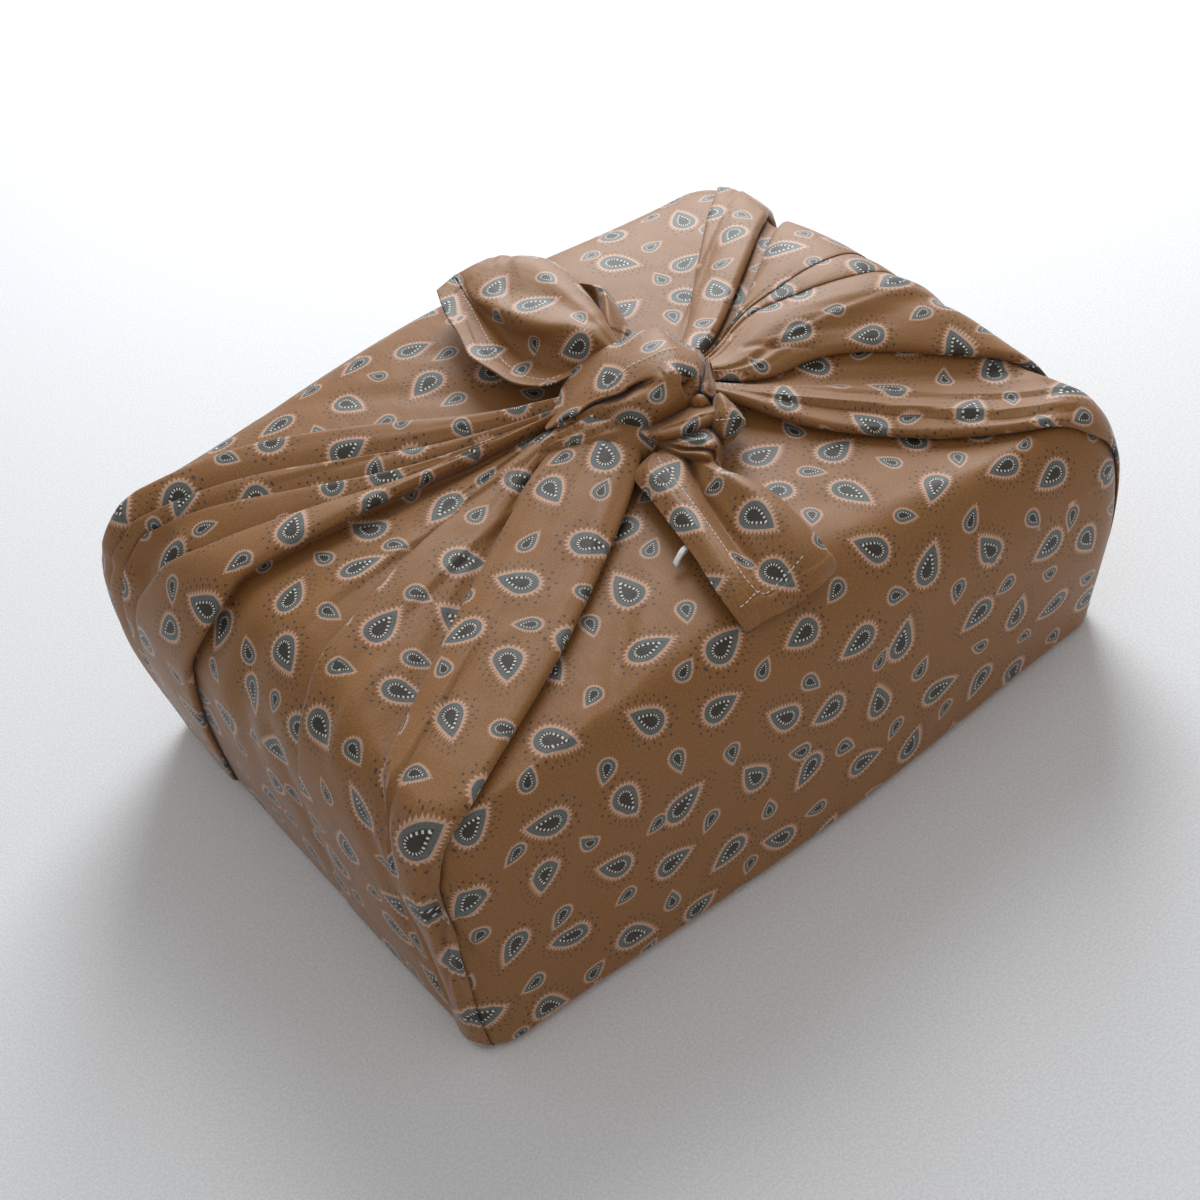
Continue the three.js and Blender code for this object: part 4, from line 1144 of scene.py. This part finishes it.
def closed_band(name, smooth, creases, centres, seed, split=0, dimples=()):
    """A closed band from its smooth surface: the cloth is laid flat on that surface, and then it
    takes its creases and a few fine wrinkles. A band that folds over at its split column is laid
    flat from one centre column on each side of the fold. A point closes each end."""
    steps, sides = smooth.shape[:2]
    ringed = np.concatenate([smooth, smooth[:, :1]], 1)
    flats = [
        (lay_flat(ringed, centre) + seed * 0.171 + side * 0.013).reshape(-1, 2)
        for side, centre in enumerate(centres)
    ]
    normals = grid_normals(smooth, closed=True)
    points = poke(press(smooth, normals, creases), normals, dimples)
    around = np.arange(sides)[None] / sides * 2 * math.pi
    along = np.linspace(0, 9, steps)[:, None] + seed
    wrinkles = lattice_noise(2 * np.cos(around) + np.zeros((steps, 1)), along, seed)
    points = points + normals * (wrinkles * BAND_WRINKLE)[..., None]
    middles = np.stack([points[0].mean(0), points[-1].mean(0)])
    everything = np.concatenate([points.reshape(-1, 3), middles])
    quads = grid_faces(steps, sides, closed=True)
    local = grid_faces(steps, sides + 1)
    past_fold = (local[:, :1] % (sides + 1)) >= split
    uv = np.where(past_fold[..., None], flats[-1][local], flats[0][local])
    caps = end_caps(sides, steps * sides, (steps - 1) * sides, steps * sides + 1)
    return make_mesh(name, everything, quads, uv, printed_cotton(), caps), points


def net_surface(rows, steps, cells):
    """An open piece of cloth or tape: smooth curves through its net of control points."""
    net = np.array(rows, float)
    columns = net.shape[1]
    return smooth_net(net, np.arange(columns), steps, np.linspace(0, columns - 1, cells))


def from_edges(points, hem_first):
    """Distances of each point of a free end from its hemmed side and from its hemmed tip."""
    widths = np.linalg.norm(np.diff(points, axis=1), axis=-1)
    across = np.concatenate([np.zeros((len(points), 1)), np.cumsum(widths, 1)], 1)
    if not hem_first:
        across = across[:, -1:] - across
    lengths = np.linalg.norm(np.diff(points, axis=0), axis=-1)
    along = np.concatenate([np.zeros((1, points.shape[1])), np.cumsum(lengths, 0)], 0)
    return across, along[-1:] - along


def thicken(piece, thickness):
    """A little thickness, half of it on each side of the surface."""
    layer = piece.modifiers.new("Thickness", "SOLIDIFY")
    layer.thickness = thickness
    layer.offset = 0.0


def free_end_mesh(name, rows, hem_first, centre, seed):
    """A free end of the cloth: its surface with a raised hem along the side and the tip, fine
    wrinkles, its cloth coordinates and its thickness."""
    smooth = net_surface(rows, END_STEPS, END_CELLS)
    side, tip = from_edges(smooth, hem_first)
    hem = ease(np.clip((HEM_WIDTH - np.minimum(side, tip)) / MM, 0, 1))
    wrinkles = lattice_noise(side / (9 * MM), tip / (26 * MM), seed)
    raised = hem * HEM_STEP + wrinkles * END_WRINKLE
    points = smooth + grid_normals(smooth) * raised[..., None]
    flat = (lay_flat(smooth, centre) + seed * 0.19).reshape(-1, 2)
    quads = grid_faces(END_STEPS, END_CELLS)
    piece = make_mesh(name, points, quads, flat[quads], printed_cotton())
    thicken(piece, CLOTH_THICKNESS)
    return piece, points


def on_grid(points, rows, columns, shape):
    """Points and normals of a grid at fractional rows and columns of its control net."""
    steps, cells = points.shape[:2]
    u = np.clip(np.asarray(rows) / (shape[0] - 1), 0, 1) * (steps - 1.001)
    v = np.clip(np.asarray(columns) / (shape[1] - 1), 0, 1) * (cells - 1.001)
    i, j = np.floor(u).astype(int), np.floor(v).astype(int)
    fu, fv = (u - i)[:, None], (v - j)[:, None]
    normals = grid_normals(points)

    def read(grid):
        low = grid[i, j] * (1 - fv) + grid[i, j + 1] * fv
        high = grid[i + 1, j] * (1 - fv) + grid[i + 1, j + 1] * fv
        return low * (1 - fu) + high * fu

    return read(points), unit(read(normals))


def stitch_mesh(name, points, way, shape):
    """A row of stitches along a way over a net: each is a short thread, a round bar of six sides
    that narrows to its two ends."""
    way = np.array(way, float)
    fine = through(np.arange(len(way)), way, np.linspace(0, len(way) - 1, 400))
    path, normals = on_grid(points, fine[:, 0], fine[:, 1], shape)
    run = np.concatenate([[0], np.cumsum(np.linalg.norm(np.diff(path, axis=0), axis=1))])
    count = int(run[-1] / STITCH_PITCH)
    middles = (np.arange(count) + 0.5) * STITCH_PITCH
    width = STITCH_WIDTHS * STITCH_WIDTH / 2
    at = np.clip(middles[:, None] + STITCH_PLACES * STITCH_LENGTH, 0, run[-1])
    centre = np.stack([np.interp(at, run, path[:, k]) for k in range(3)], -1)
    up = unit(np.stack([np.interp(at, run, normals[:, k]) for k in range(3)], -1))
    ahead = unit(centre[:, -1:] - centre[:, :1])
    aside = unit(np.cross(ahead, up))
    angle = np.linspace(0, 2 * math.pi, 7)[:-1]
    ring = centre[:, :, None] + up[:, :, None] * STITCH_LIFT
    ring = ring + aside[:, :, None] * (np.cos(angle)[:, None] * width[None, :, None, None])
    ring = ring + up[:, :, None] * (np.sin(angle)[:, None] * width[None, :, None, None])
    sections, sides = len(width), len(angle)
    one = grid_faces(sections, sides, closed=True)[:, ::-1]
    start = np.arange(count) * sections * sides
    quads = (start[:, None, None] + one[None]).reshape(-1, 4)
    lids = np.array([[0, 1, 2, 3], [3, 4, 5, 0]])
    far_lids = lids[:, ::-1] + (sections - 1) * sides
    caps = (start[:, None, None] + np.concatenate([lids, far_lids])[None]).reshape(-1, 4)
    quads = np.concatenate([quads, caps])
    uv = ring.reshape(-1, 3)[quads][..., :2]
    thread = plain_material("Thread", cloth_look().thread, THREAD_ROUGHNESS)
    return make_mesh(name, ring, quads, uv, thread)


def sew(net_name, points, net):
    """The stitches of one net, as pieces that ride with the parcel."""
    pieces = []
    for name, (where, way) in STITCH_LINES.items():
        if where == net_name:
            pieces.append(set_on_parcel(stitch_mesh(name, points, way, (len(net), len(net[0])))))
    return pieces


class PARCEL_OT_knot(bpy.types.Operator):
    """Tie the knot: the folded over band and the round bands of gathered cloth about it"""

    bl_idname = "parcel.knot"
    bl_label = "Knot"

    def execute(self, context):
        for name, row in FOLDED_BANDS.items():
            net, creases, dimples, depth, each, centres, fold, seed = row
            steps, sides = ROWS_PER_NET_ROW * len(net), each * (len(net[0]) + 2)
            smooth = ring_surface(net, steps, sides, depth)
            centres = [each * (centre + 1) for centre in centres]
            split = 0 if fold is None else each * (fold + 1)
            band, points = closed_band(name, smooth, creases, centres, seed, split, dimples)
            set_on_parcel(band)
            sew(name, points[:, each : each * len(net[0]) + 1], net)
        for name, (rows, creases, seed) in ROUND_BANDS.items():
            smooth = band_surface(rows, ROUND_STEPS, ROUND_SIDES)
            band, _ = closed_band(name, smooth, creases, (ROUND_SIDES // 2,), seed)
            set_on_parcel(band)
        return {"FINISHED"}


class PARCEL_OT_tab(bpy.types.Operator):
    """Sew the small loop of woven tape under the front hem"""

    bl_idname = "parcel.tab"
    bl_label = "Hem tab"

    def execute(self, context):
        points = net_surface(TAPE_LOOP, TAPE_STEPS, TAPE_CELLS)
        quads = grid_faces(TAPE_STEPS, TAPE_CELLS)
        flat = lay_flat(points).reshape(-1, 2)
        tape = plain_material("Woven tape", cloth_look().tape, TAPE_ROUGHNESS)
        piece = make_mesh("hem_tab", points, quads, flat[quads], tape)
        thicken(piece, TAPE_THICKNESS)
        set_on_parcel(piece, "tab")
        return {"FINISHED"}


class PARCEL_OT_ends(bpy.types.Operator):
    """Lay the free ends on the flaps, each with its stitched hem"""

    bl_idname = "parcel.ends"
    bl_label = "Free ends"

    def execute(self, context):
        for name, (where, net, hem_first, centre, flat, seed) in FREE_ENDS.items():
            piece, points = free_end_mesh(name, net, hem_first, centre, seed)
            set_on_parcel(piece)
            thread = sew(where, points, net)
            if name == "front_end":
                thread.append(bpy.data.objects["hem_tab"])
        return {"FINISHED"}


# ---- Materials ----
# The drop motif, in shares of its length: the radius of its round end, how far its tip is from
# that end's middle, the angle at which its flanks leave the round end, how strongly its tip hooks
# aside, and how far back and aside its middle is from the middle of its cell.
DROP_RADIUS = 0.335
DROP_REACH = 0.665
DROP_LEAN = math.radians(15)
DROP_HOOK = 0.17
DROP_BACK = 0.165
DROP_ASIDE = 0.03
# The rim outside its outline with its rays, the heart inside it, and the softness of every edge.
HALO_WIDTH = 0.045
RAY_PITCH = 0.094
RAY_LENGTH = 0.19
HEART_DEPTH = 0.115
SOFT_EDGE = 0.012
# Short strokes across the outline: how far outside it their middles are, half their length, their
# pitch, half their width as a share of the pitch, and their shift along the outline in pitches.
DASHES = (-0.158, 0.036, 0.125, 0.25, 0.0)
NEAR_SPECKS = (0.215, 0.042, 0.17, 0.13, 0.0)
FAR_SPECKS = (0.335, 0.038, 0.17, 0.11, 0.5)
# The lattice: its turn in radians, the scale and reach of its warp, how far a drop strays in its
# cell, and the least size and the spread of sizes, as shares.
LATTICE_TURN = 0.42
WARP_SCALE = 14.0
WARP_REACH = 0.006
DROP_STRAY = 0.3
DROP_LEAST = 0.92
DROP_SPREAD = 0.16
# The inks in the print, and which ink fills each mask of a drop, from the lowest up.
INKS = ("Ground", "Halo", "Ring", "Heart", "Dash", "Speck")
LAYERS = (("Halo", "Halo"), ("Ring", "Ring"), ("Heart", "Heart"), ("Dashes", "Dash"))
# The depth of the weave and of the soft crinkles, in metres, and the finish of the cotton.
WEAVE_DEPTH = 0.00003
CRINKLE_DEPTH = 0.0013
COTTON_FINISH = {
    "Roughness": 0.54,
    "Specular IOR Level": 0.45,
    "Sheen Weight": 0.28,
    "Sheen Roughness": 0.35,
    "Sheen Tint": (0.9, 0.92, 1.0, 1.0),
}
THREAD_ROUGHNESS = 0.6
TAPE_ROUGHNESS = 0.8
FLOOR_ROUGHNESS = 0.9
FLOAT, VECTOR, COLOUR = "NodeSocketFloat", "NodeSocketVector", "NodeSocketColor"


class Wiring:
    """Short names for the nodes of one tree: each call adds a node and returns its output."""

    def __init__(self, tree):
        self.tree = tree

    def node(self, kind, **settings):
        node = self.tree.nodes.new(kind)
        for key, value in settings.items():
            setattr(node, key, value)
        return node

    def plug(self, socket, value):
        if isinstance(value, bpy.types.NodeSocket):
            self.tree.links.new(value, socket)
        else:
            socket.default_value = value

    def made(self, kind, values, **settings):
        """The outputs of a new node whose named inputs take these values."""
        node = self.node(kind, **settings)
        for name, value in values.items():
            self.plug(node.inputs[name], value)
        return node.outputs

    def fed(self, kind, values, **settings):
        """The first output of a new node whose inputs take these values in order."""
        node = self.node(kind, **settings)
        for socket, value in zip(node.inputs, values):
            self.plug(socket, value)
        return node.outputs[0]

    def math(self, operation, *values):
        return self.fed("ShaderNodeMath", values, operation=operation)

    def vector(self, operation, *values):
        return self.fed("ShaderNodeVectorMath", values, operation=operation)

    def scaled(self, vector, factor):
        values = {"Vector": vector, "Scale": factor}
        return self.made("ShaderNodeVectorMath", values, operation="SCALE")[0]

    def turned(self, vector, angle):
        values = {"Vector": vector, "Angle": angle}
        return self.made("ShaderNodeVectorRotate", values, rotation_type="Z_AXIS")[0]

    def parts(self, vector):
        return self.made("ShaderNodeSeparateXYZ", {"Vector": vector})

    def noise(self, place, scale, detail=2.0, dimensions="2D"):
        values = {"Vector": place, "Scale": scale, "Detail": detail}
        return self.made("ShaderNodeTexNoise", values, noise_dimensions=dimensions)

    def smooth(self, value, low, high, out_low=0.0, out_high=1.0):
        """Smooth ramp of a value from low to high."""
        values = (value, low, high, out_low, out_high)
        return self.fed("ShaderNodeMapRange", values, interpolation_type="SMOOTHSTEP")

    def blend(self, mask, under, over):
        """Colour over another by a mask."""
        node = self.node("ShaderNodeMix", data_type="RGBA")
        for name, value in (("Factor", mask), ("A", under), ("B", over)):
            self.plug(node.inputs[name], value)
        return node.outputs["Result"]

    def group(self, tree, values):
        return self.made("ShaderNodeGroup", values, node_tree=tree)


def new_group(name, inputs, outputs):
    """An empty node group with named sockets, as (kind, name, default), and its wiring."""
    group = bpy.data.node_groups.new(name, "ShaderNodeTree")
    for kind, label, default in inputs:
        socket = group.interface.new_socket(label, in_out="INPUT", socket_type=kind)
        if default is not None:
            socket.default_value = default
    for kind, label in outputs:
        group.interface.new_socket(label, in_out="OUTPUT", socket_type=kind)
    wires = Wiring(group)
    start = wires.node("NodeGroupInput")
    end = wires.node("NodeGroupOutput")
    return group, wires, start.outputs, end.inputs


def drop_motif_group():
    """One drop-shaped motif, in shares of its length. Its round end is part of a circle and its
    two flanks are arcs of a larger circle, which meet in the tip. The signed distance from that
    outline gives the rim, ring and heart, and the length along it spaces rays, dashes and specks.
    The larger circle's radius is that of the round end plus far, the distance between their
    middles, which is (reach^2 - radius^2) / (2 (radius - reach sin lean))."""
    name = "Drop motif"
    if name in bpy.data.node_groups:
        return bpy.data.node_groups[name]
    group, w, given, out = new_group(
        name,
        [(VECTOR, "Place", None), (FLOAT, "Turn", 0.0), (FLOAT, "Length", 0.02)],
        [(FLOAT, "Halo"), (FLOAT, "Ring"), (FLOAT, "Heart"), (FLOAT, "Dashes"), (FLOAT, "Specks")],
    )
    radius, lean = DROP_RADIUS, DROP_LEAN
    far = (DROP_REACH**2 - radius**2) / (2 * (radius - DROP_REACH * math.sin(lean)))
    turned = w.turned(given["Place"], given["Turn"])
    parts = w.parts(w.scaled(turned, w.math("DIVIDE", 1.0, given["Length"])))
    x = w.math("ADD", parts[0], DROP_BACK)
    hook = w.math("MULTIPLY", w.math("POWER", w.math("MAXIMUM", x, 0.0), 2.0), DROP_HOOK)
    y = w.math("ABSOLUTE", w.math("SUBTRACT", w.math("ADD", parts[1], hook), DROP_ASIDE))

    def length(across, up):
        squares = (w.math("MULTIPLY", across, across), w.math("MULTIPLY", up, up))
        return w.math("SQRT", w.math("ADD", *squares))

    def choose(mask, low, high):
        return w.math("ADD", low, w.math("MULTIPLY", mask, w.math("SUBTRACT", high, low)))

    angle = w.math("ARCTAN2", x, y)
    far_x = w.math("ADD", x, far * math.sin(lean))
    far_y = w.math("ADD", y, far * math.cos(lean))
    far_angle = w.math("ARCTAN2", far_x, far_y)
    on_flank = w.math("GREATER_THAN", angle, lean)
    round_part = w.math("SUBTRACT", length(x, y), radius)
    flank_part = w.math("SUBTRACT", length(far_x, far_y), radius + far)
    distance = choose(on_flank, round_part, flank_part)
    round_along = w.math("MULTIPLY", w.math("SUBTRACT", angle, lean), radius)
    flank_along = w.math("MULTIPLY", w.math("SUBTRACT", far_angle, lean), radius + far)
    along = choose(on_flank, round_along, flank_along)

    def comb(pitch, shift=0.0):
        """Distance from the middle of the nearest tooth, as a share of the pitch: 0 to 0.5. Twenty
        whole pitches are added, so that the length is above zero all round the drop."""
        value = w.math("FRACT", w.math("ADD", w.math("DIVIDE", along, pitch), 20 + shift))
        return w.math("ABSOLUTE", w.math("SUBTRACT", value, 0.5))

    def strokes(middle, half_long, pitch, half_wide, shift):
        """Short strokes across the outline at a distance from it, one to each pitch."""
        away = w.math("ABSOLUTE", w.math("SUBTRACT", distance, middle))
        band = w.smooth(away, half_long, half_long * 0.6)
        return w.math("MULTIPLY", band, w.smooth(comb(pitch, shift), half_wide, half_wide * 0.6))

    rim = w.math("ADD", w.math("MULTIPLY", comb(RAY_PITCH), RAY_LENGTH), HALO_WIDTH)
    masks = {
        "Halo": w.smooth(w.math("SUBTRACT", distance, rim), SOFT_EDGE, -SOFT_EDGE),
        "Ring": w.smooth(distance, SOFT_EDGE, -SOFT_EDGE),
        "Heart": w.smooth(w.math("ADD", distance, HEART_DEPTH), SOFT_EDGE, -SOFT_EDGE),
        "Dashes": strokes(*DASHES),
        "Specks": w.math("MAXIMUM", strokes(*NEAR_SPECKS), strokes(*FAR_SPECKS)),
    }
    for label, mask in masks.items():
        w.plug(out[label], mask)
    return group


def print_group():
    """The paisley print: large and small drops on two interleaved lattices, each drop turned and
    shifted by the noise of its cell, with the lattice itself gently warped."""
    name = "Paisley print"
    if name in bpy.data.node_groups:
        return bpy.data.node_groups[name]
    look = cloth_look()
    group, w, given, out = new_group(
        name,
        [(VECTOR, "Cloth", None), *((COLOUR, ink, None) for ink in INKS)],
        [(COLOUR, "Color")],
    )
    middle = (0.5, 0.5, 0.5)
    shift = w.vector("SUBTRACT", w.noise(given["Cloth"], WARP_SCALE, 0.0)["Color"], middle)
    shift = w.vector("MULTIPLY", shift, (WARP_REACH, WARP_REACH, 0.0))
    place = w.turned(w.vector("ADD", given["Cloth"], shift), LATTICE_TURN)
    lattice = w.scaled(place, 1 / look.spacing)

    def motif(offset, length, seed):
        """The motif of the nearest cell of a lattice shifted by an offset."""
        cells = w.vector("ADD", lattice, offset)
        cell = w.vector("FLOOR", cells)
        inside = w.vector("SUBTRACT", w.vector("SUBTRACT", cells, cell), (0.5, 0.5, 0.0))
        numbered = {"Vector": w.vector("ADD", cell, (0.0, 0.0, seed))}
        chance = w.made("ShaderNodeTexWhiteNoise", numbered, noise_dimensions="3D")
        stray = w.vector("SUBTRACT", chance["Color"], middle)
        stray = w.vector("MULTIPLY", stray, (DROP_STRAY, DROP_STRAY, 0.0))
        spread = w.math("MULTIPLY", chance["Value"], DROP_SPREAD * length)
        values = {
            "Place": w.scaled(w.vector("SUBTRACT", inside, stray), look.spacing),
            "Turn": w.math("MULTIPLY", w.parts(chance["Color"])[2], math.tau),
            "Length": w.math("ADD", spread, DROP_LEAST * length),
        }
        return w.group(drop_motif_group(), values)

    large = motif((0.0, 0.0, 0.0), look.motif, 3.0)
    small = motif((0.5, 0.5, 0.0), look.small_motif, 8.0)
    colour = w.blend(large["Specks"], given["Ground"], given["Speck"])
    for drop in (large, small):
        for mask, ink in LAYERS:
            colour = w.blend(drop[mask], colour, given[ink])
    w.plug(out["Color"], colour)
    return group


def weave_group():
    """Plain weave: two crossed sine waves at the threads' pitch, with a little seeded grain. Its
    tone is that grain times a painted shade, darker between the raised crossings of the threads.
    """
    name = "Plain weave"
    if name in bpy.data.node_groups:
        return bpy.data.node_groups[name]
    group, w, given, out = new_group(
        name,
        [(VECTOR, "Cloth", None), (FLOAT, "Pitch", 0.0005)],
        [(FLOAT, "Height"), (FLOAT, "Tone")],
    )
    parts = w.parts(given["Cloth"])
    rate = w.math("DIVIDE", math.pi, given["Pitch"])
    warp, weft = (w.math("SINE", w.math("MULTIPLY", parts[k], rate)) for k in (0, 1))
    height = w.math("ADD", w.math("MULTIPLY", w.math("MULTIPLY", warp, weft), 0.5), 0.5)
    grain = w.smooth(w.noise(given["Cloth"], 1100.0)["Fac"], 0.25, 0.75, 0.83, 1.13)
    # Painted shade of the weave: the colour is lighter on the raised threads and darker between
    # them.
    lit = w.math("ADD", w.math("MULTIPLY", height, 0.12), 0.94)
    w.plug(out["Height"], height)
    w.plug(out["Tone"], w.math("MULTIPLY", grain, lit))
    return group


def crinkle_group():
    """Soft crinkles of worn cotton: broad noise and a little fine noise, the fine one drawn out
    along the cloth."""
    name = "Soft crinkle"
    if name in bpy.data.node_groups:
        return bpy.data.node_groups[name]
    group, w, given, out = new_group(name, [(VECTOR, "Cloth", None)], [(FLOAT, "Height")])
    broad = w.noise(given["Cloth"], 26.0)["Fac"]
    drawn = w.vector("MULTIPLY", given["Cloth"], (0.3, 1.0, 1.0))
    fine = w.noise(drawn, 160.0, 3.0)["Fac"]
    w.plug(out["Height"], w.math("ADD", broad, w.math("MULTIPLY", fine, 0.14)))
    return group


def new_material(name):
    """A material with a Principled shader, its wiring and the shader's inputs."""
    material = bpy.data.materials.new(name)
    material.use_nodes = True
    tree = material.node_tree
    tree.nodes.clear()
    wires = Wiring(tree)
    shader = wires.node("ShaderNodeBsdfPrincipled")
    end = wires.node("ShaderNodeOutputMaterial")
    tree.links.new(shader.outputs[0], end.inputs["Surface"])
    return material, wires, shader.inputs


def printed_cotton():
    """Printed cotton with a soft sheen, shared by every piece of the cloth. The print's colour is
    scaled by the weave's grain and by a painted shade between its threads, and the weave and the
    crinkles bump the surface."""
    name = "Printed cotton"
    if name in bpy.data.materials:
        return bpy.data.materials[name]
    look = cloth_look()
    material, w, shader = new_material(name)
    cloth = w.node("ShaderNodeUVMap", uv_map="Cloth").outputs[0]
    inks = {ink: (*getattr(look, ink.lower()), 1.0) for ink in INKS}
    paisley = w.group(print_group(), {"Cloth": cloth, **inks})
    weave = w.group(weave_group(), {"Cloth": cloth, "Pitch": look.weave})
    crinkle = w.group(crinkle_group(), {"Cloth": cloth})
    # The print is darkened by the weave's grain and by its painted thread shade.
    w.plug(shader["Base Color"], w.scaled(paisley["Color"], weave["Tone"]))
    threads = {"Height": weave["Height"], "Distance": WEAVE_DEPTH, "Strength": 1.0}
    threads = w.made("ShaderNodeBump", threads)[0]
    folds = {"Height": crinkle["Height"], "Distance": CRINKLE_DEPTH, "Strength": 1.0}
    folds = w.made("ShaderNodeBump", {**folds, "Normal": threads})[0]
    w.plug(shader["Normal"], folds)
    for label, value in COTTON_FINISH.items():
        shader[label].default_value = value
    return material


def plain_material(name, colour, roughness):
    """A plain finish with a fine grain, for the tab, the thread and the floor."""
    if name in bpy.data.materials:
        return bpy.data.materials[name]
    material, w, shader = new_material(name)
    place = w.node("ShaderNodeTexCoord").outputs["Object"]
    grain = w.noise(place, 900.0, dimensions="3D")["Fac"]
    tone = w.smooth(grain, 0.3, 0.7, 0.92, 1.06)
    w.plug(shader["Base Color"], w.scaled(tuple(colour), tone))
    shader["Roughness"].default_value = roughness
    return material


# ---- The stage ----
# The camera: its lens in millimetres on a 36 mm frame, its heading, its height angle and its roll
# in degrees, and its distance and sideways offsets in metres from the parcel's origin.
CAMERA = {
    "lens": 57.78,
    "heading": -30.8,
    "pitch": 43.3,
    "roll": -10.4,
    "distance": 0.878,
    "right": -0.0146,
    "up": 0.0312,
}
# Each soft light: its place, its width and height, and its colour. They all face one point.
LIGHTS = {
    "window": ((0.7, 0.78, 0.8), (0.65, 1.1), (0.92, 0.96, 1.0)),
    "ceiling": ((-0.5, -0.25, 1.5), (0.9, 0.9), (1.0, 0.97, 0.93)),
    "fill": ((0.3, -1.5, 0.9), (1.2, 1.2), (1.0, 0.84, 0.66)),
}
LIGHT_TARGET = (0, 0, 0.1)
SKY_COLOUR = (0.95, 0.97, 1.0, 1.0)
FLOOR_REACH = 6.0


def place_camera():
    """The camera at the viewing angle: it looks along the line of its heading and its height
    angle, is turned about that line by its roll, and stands back by its distance."""
    heading, pitch, roll = (math.radians(CAMERA[key]) for key in ("heading", "pitch", "roll"))
    level = Vector((math.cos(heading), math.sin(heading), 0))
    ahead = Vector((-math.sin(heading), math.cos(heading), 0))
    back = Vector((0, 0, math.sin(pitch))) - ahead * math.cos(pitch)
    upright = back.cross(level)
    right = level * math.cos(roll) + upright * math.sin(roll)
    up = upright * math.cos(roll) - level * math.sin(roll)
    place = back * CAMERA["distance"] + right * CAMERA["right"] + up * CAMERA["up"]
    data = bpy.data.cameras.new("camera")
    data.lens = CAMERA["lens"]
    data.sensor_width = 36.0
    data.clip_start = 0.01
    camera = bpy.data.objects.new("camera", data)
    axes = Matrix((right, up, back)).transposed().to_4x4()
    camera.matrix_world = Matrix.Translation(place) @ axes
    bpy.context.collection.objects.link(camera)
    bpy.context.scene.camera = camera


def area_light(name, place, size, power, colour):
    """A soft light of a width and a height that faces the target."""
    data = bpy.data.lights.new(name, "AREA")
    data.shape = "RECTANGLE"
    data.size, data.size_y = size
    data.energy = power
    data.color = colour
    light = bpy.data.objects.new(name, data)
    facing = Vector(LIGHT_TARGET) - Vector(place)
    light.rotation_euler = facing.to_track_quat("-Z", "Y").to_euler()
    light.location = place
    bpy.context.collection.objects.link(light)


class PARCEL_OT_stage(bpy.types.Operator):
    """Set the pale floor, the soft lights and the camera"""

    bl_idname = "parcel.stage"
    bl_label = "Stage"

    def execute(self, context):
        look = stage_look()
        corners = np.array([[-1, -1, 0], [1, -1, 0], [1, 1, 0], [-1, 1, 0]]) * FLOOR_REACH
        quad = np.array([[0, 1, 2, 3]])
        paper = plain_material("Pale floor", look.floor, FLOOR_ROUGHNESS)
        floor = make_mesh("floor", corners, quad, corners[quad][..., :2], paper)
        world = bpy.data.worlds.new("Studio")
        world.use_nodes = True
        background = world.node_tree.nodes["Background"]
        background.inputs["Color"].default_value = SKY_COLOUR
        background.inputs["Strength"].default_value = look.sky
        context.scene.world = world
        context.scene.view_settings.view_transform = "Standard"
        for name, (place, size, colour) in LIGHTS.items():
            area_light(name, place, size, getattr(look, name), colour)
        place_camera()
        return {"FINISHED"}


class PARCEL_PT_panel(bpy.types.Panel):
    """Lists the sizes, the colours and the steps that make the parcel."""

    bl_idname = "PARCEL_PT_panel"
    bl_label = "Wrapped parcel"
    bl_space_type = "VIEW_3D"
    bl_region_type = "UI"
    bl_category = "Wrapped parcel"

    def draw(self, context):
        for settings in (sizes(), cloth_look(), stage_look()):
            box = self.layout.box()
            for key in settings.__annotations__:
                box.prop(settings, key)
        for step in STEPS:
            self.layout.operator(step.bl_idname)


STEPS = (PARCEL_OT_body, PARCEL_OT_knot, PARCEL_OT_tab, PARCEL_OT_ends, PARCEL_OT_stage)
GROUPS = (ParcelSizes, ClothLook, StageLook)


def register():
    for cls in (*GROUPS, *STEPS, PARCEL_PT_panel):
        bpy.utils.register_class(cls)
    bpy.types.Scene.parcel_sizes = bpy.props.PointerProperty(type=ParcelSizes)
    bpy.types.Scene.cloth_look = bpy.props.PointerProperty(type=ClothLook)
    bpy.types.Scene.stage_look = bpy.props.PointerProperty(type=StageLook)


def unregister():
    del bpy.types.Scene.stage_look
    del bpy.types.Scene.cloth_look
    del bpy.types.Scene.parcel_sizes
    for cls in reversed((*GROUPS, *STEPS, PARCEL_PT_panel)):
        bpy.utils.unregister_class(cls)


def main():
    register()
    bpy.ops.parcel.body()
    bpy.ops.parcel.knot()
    bpy.ops.parcel.tab()
    bpy.ops.parcel.ends()
    bpy.ops.parcel.stage()


if __name__ == "__main__":
    main()
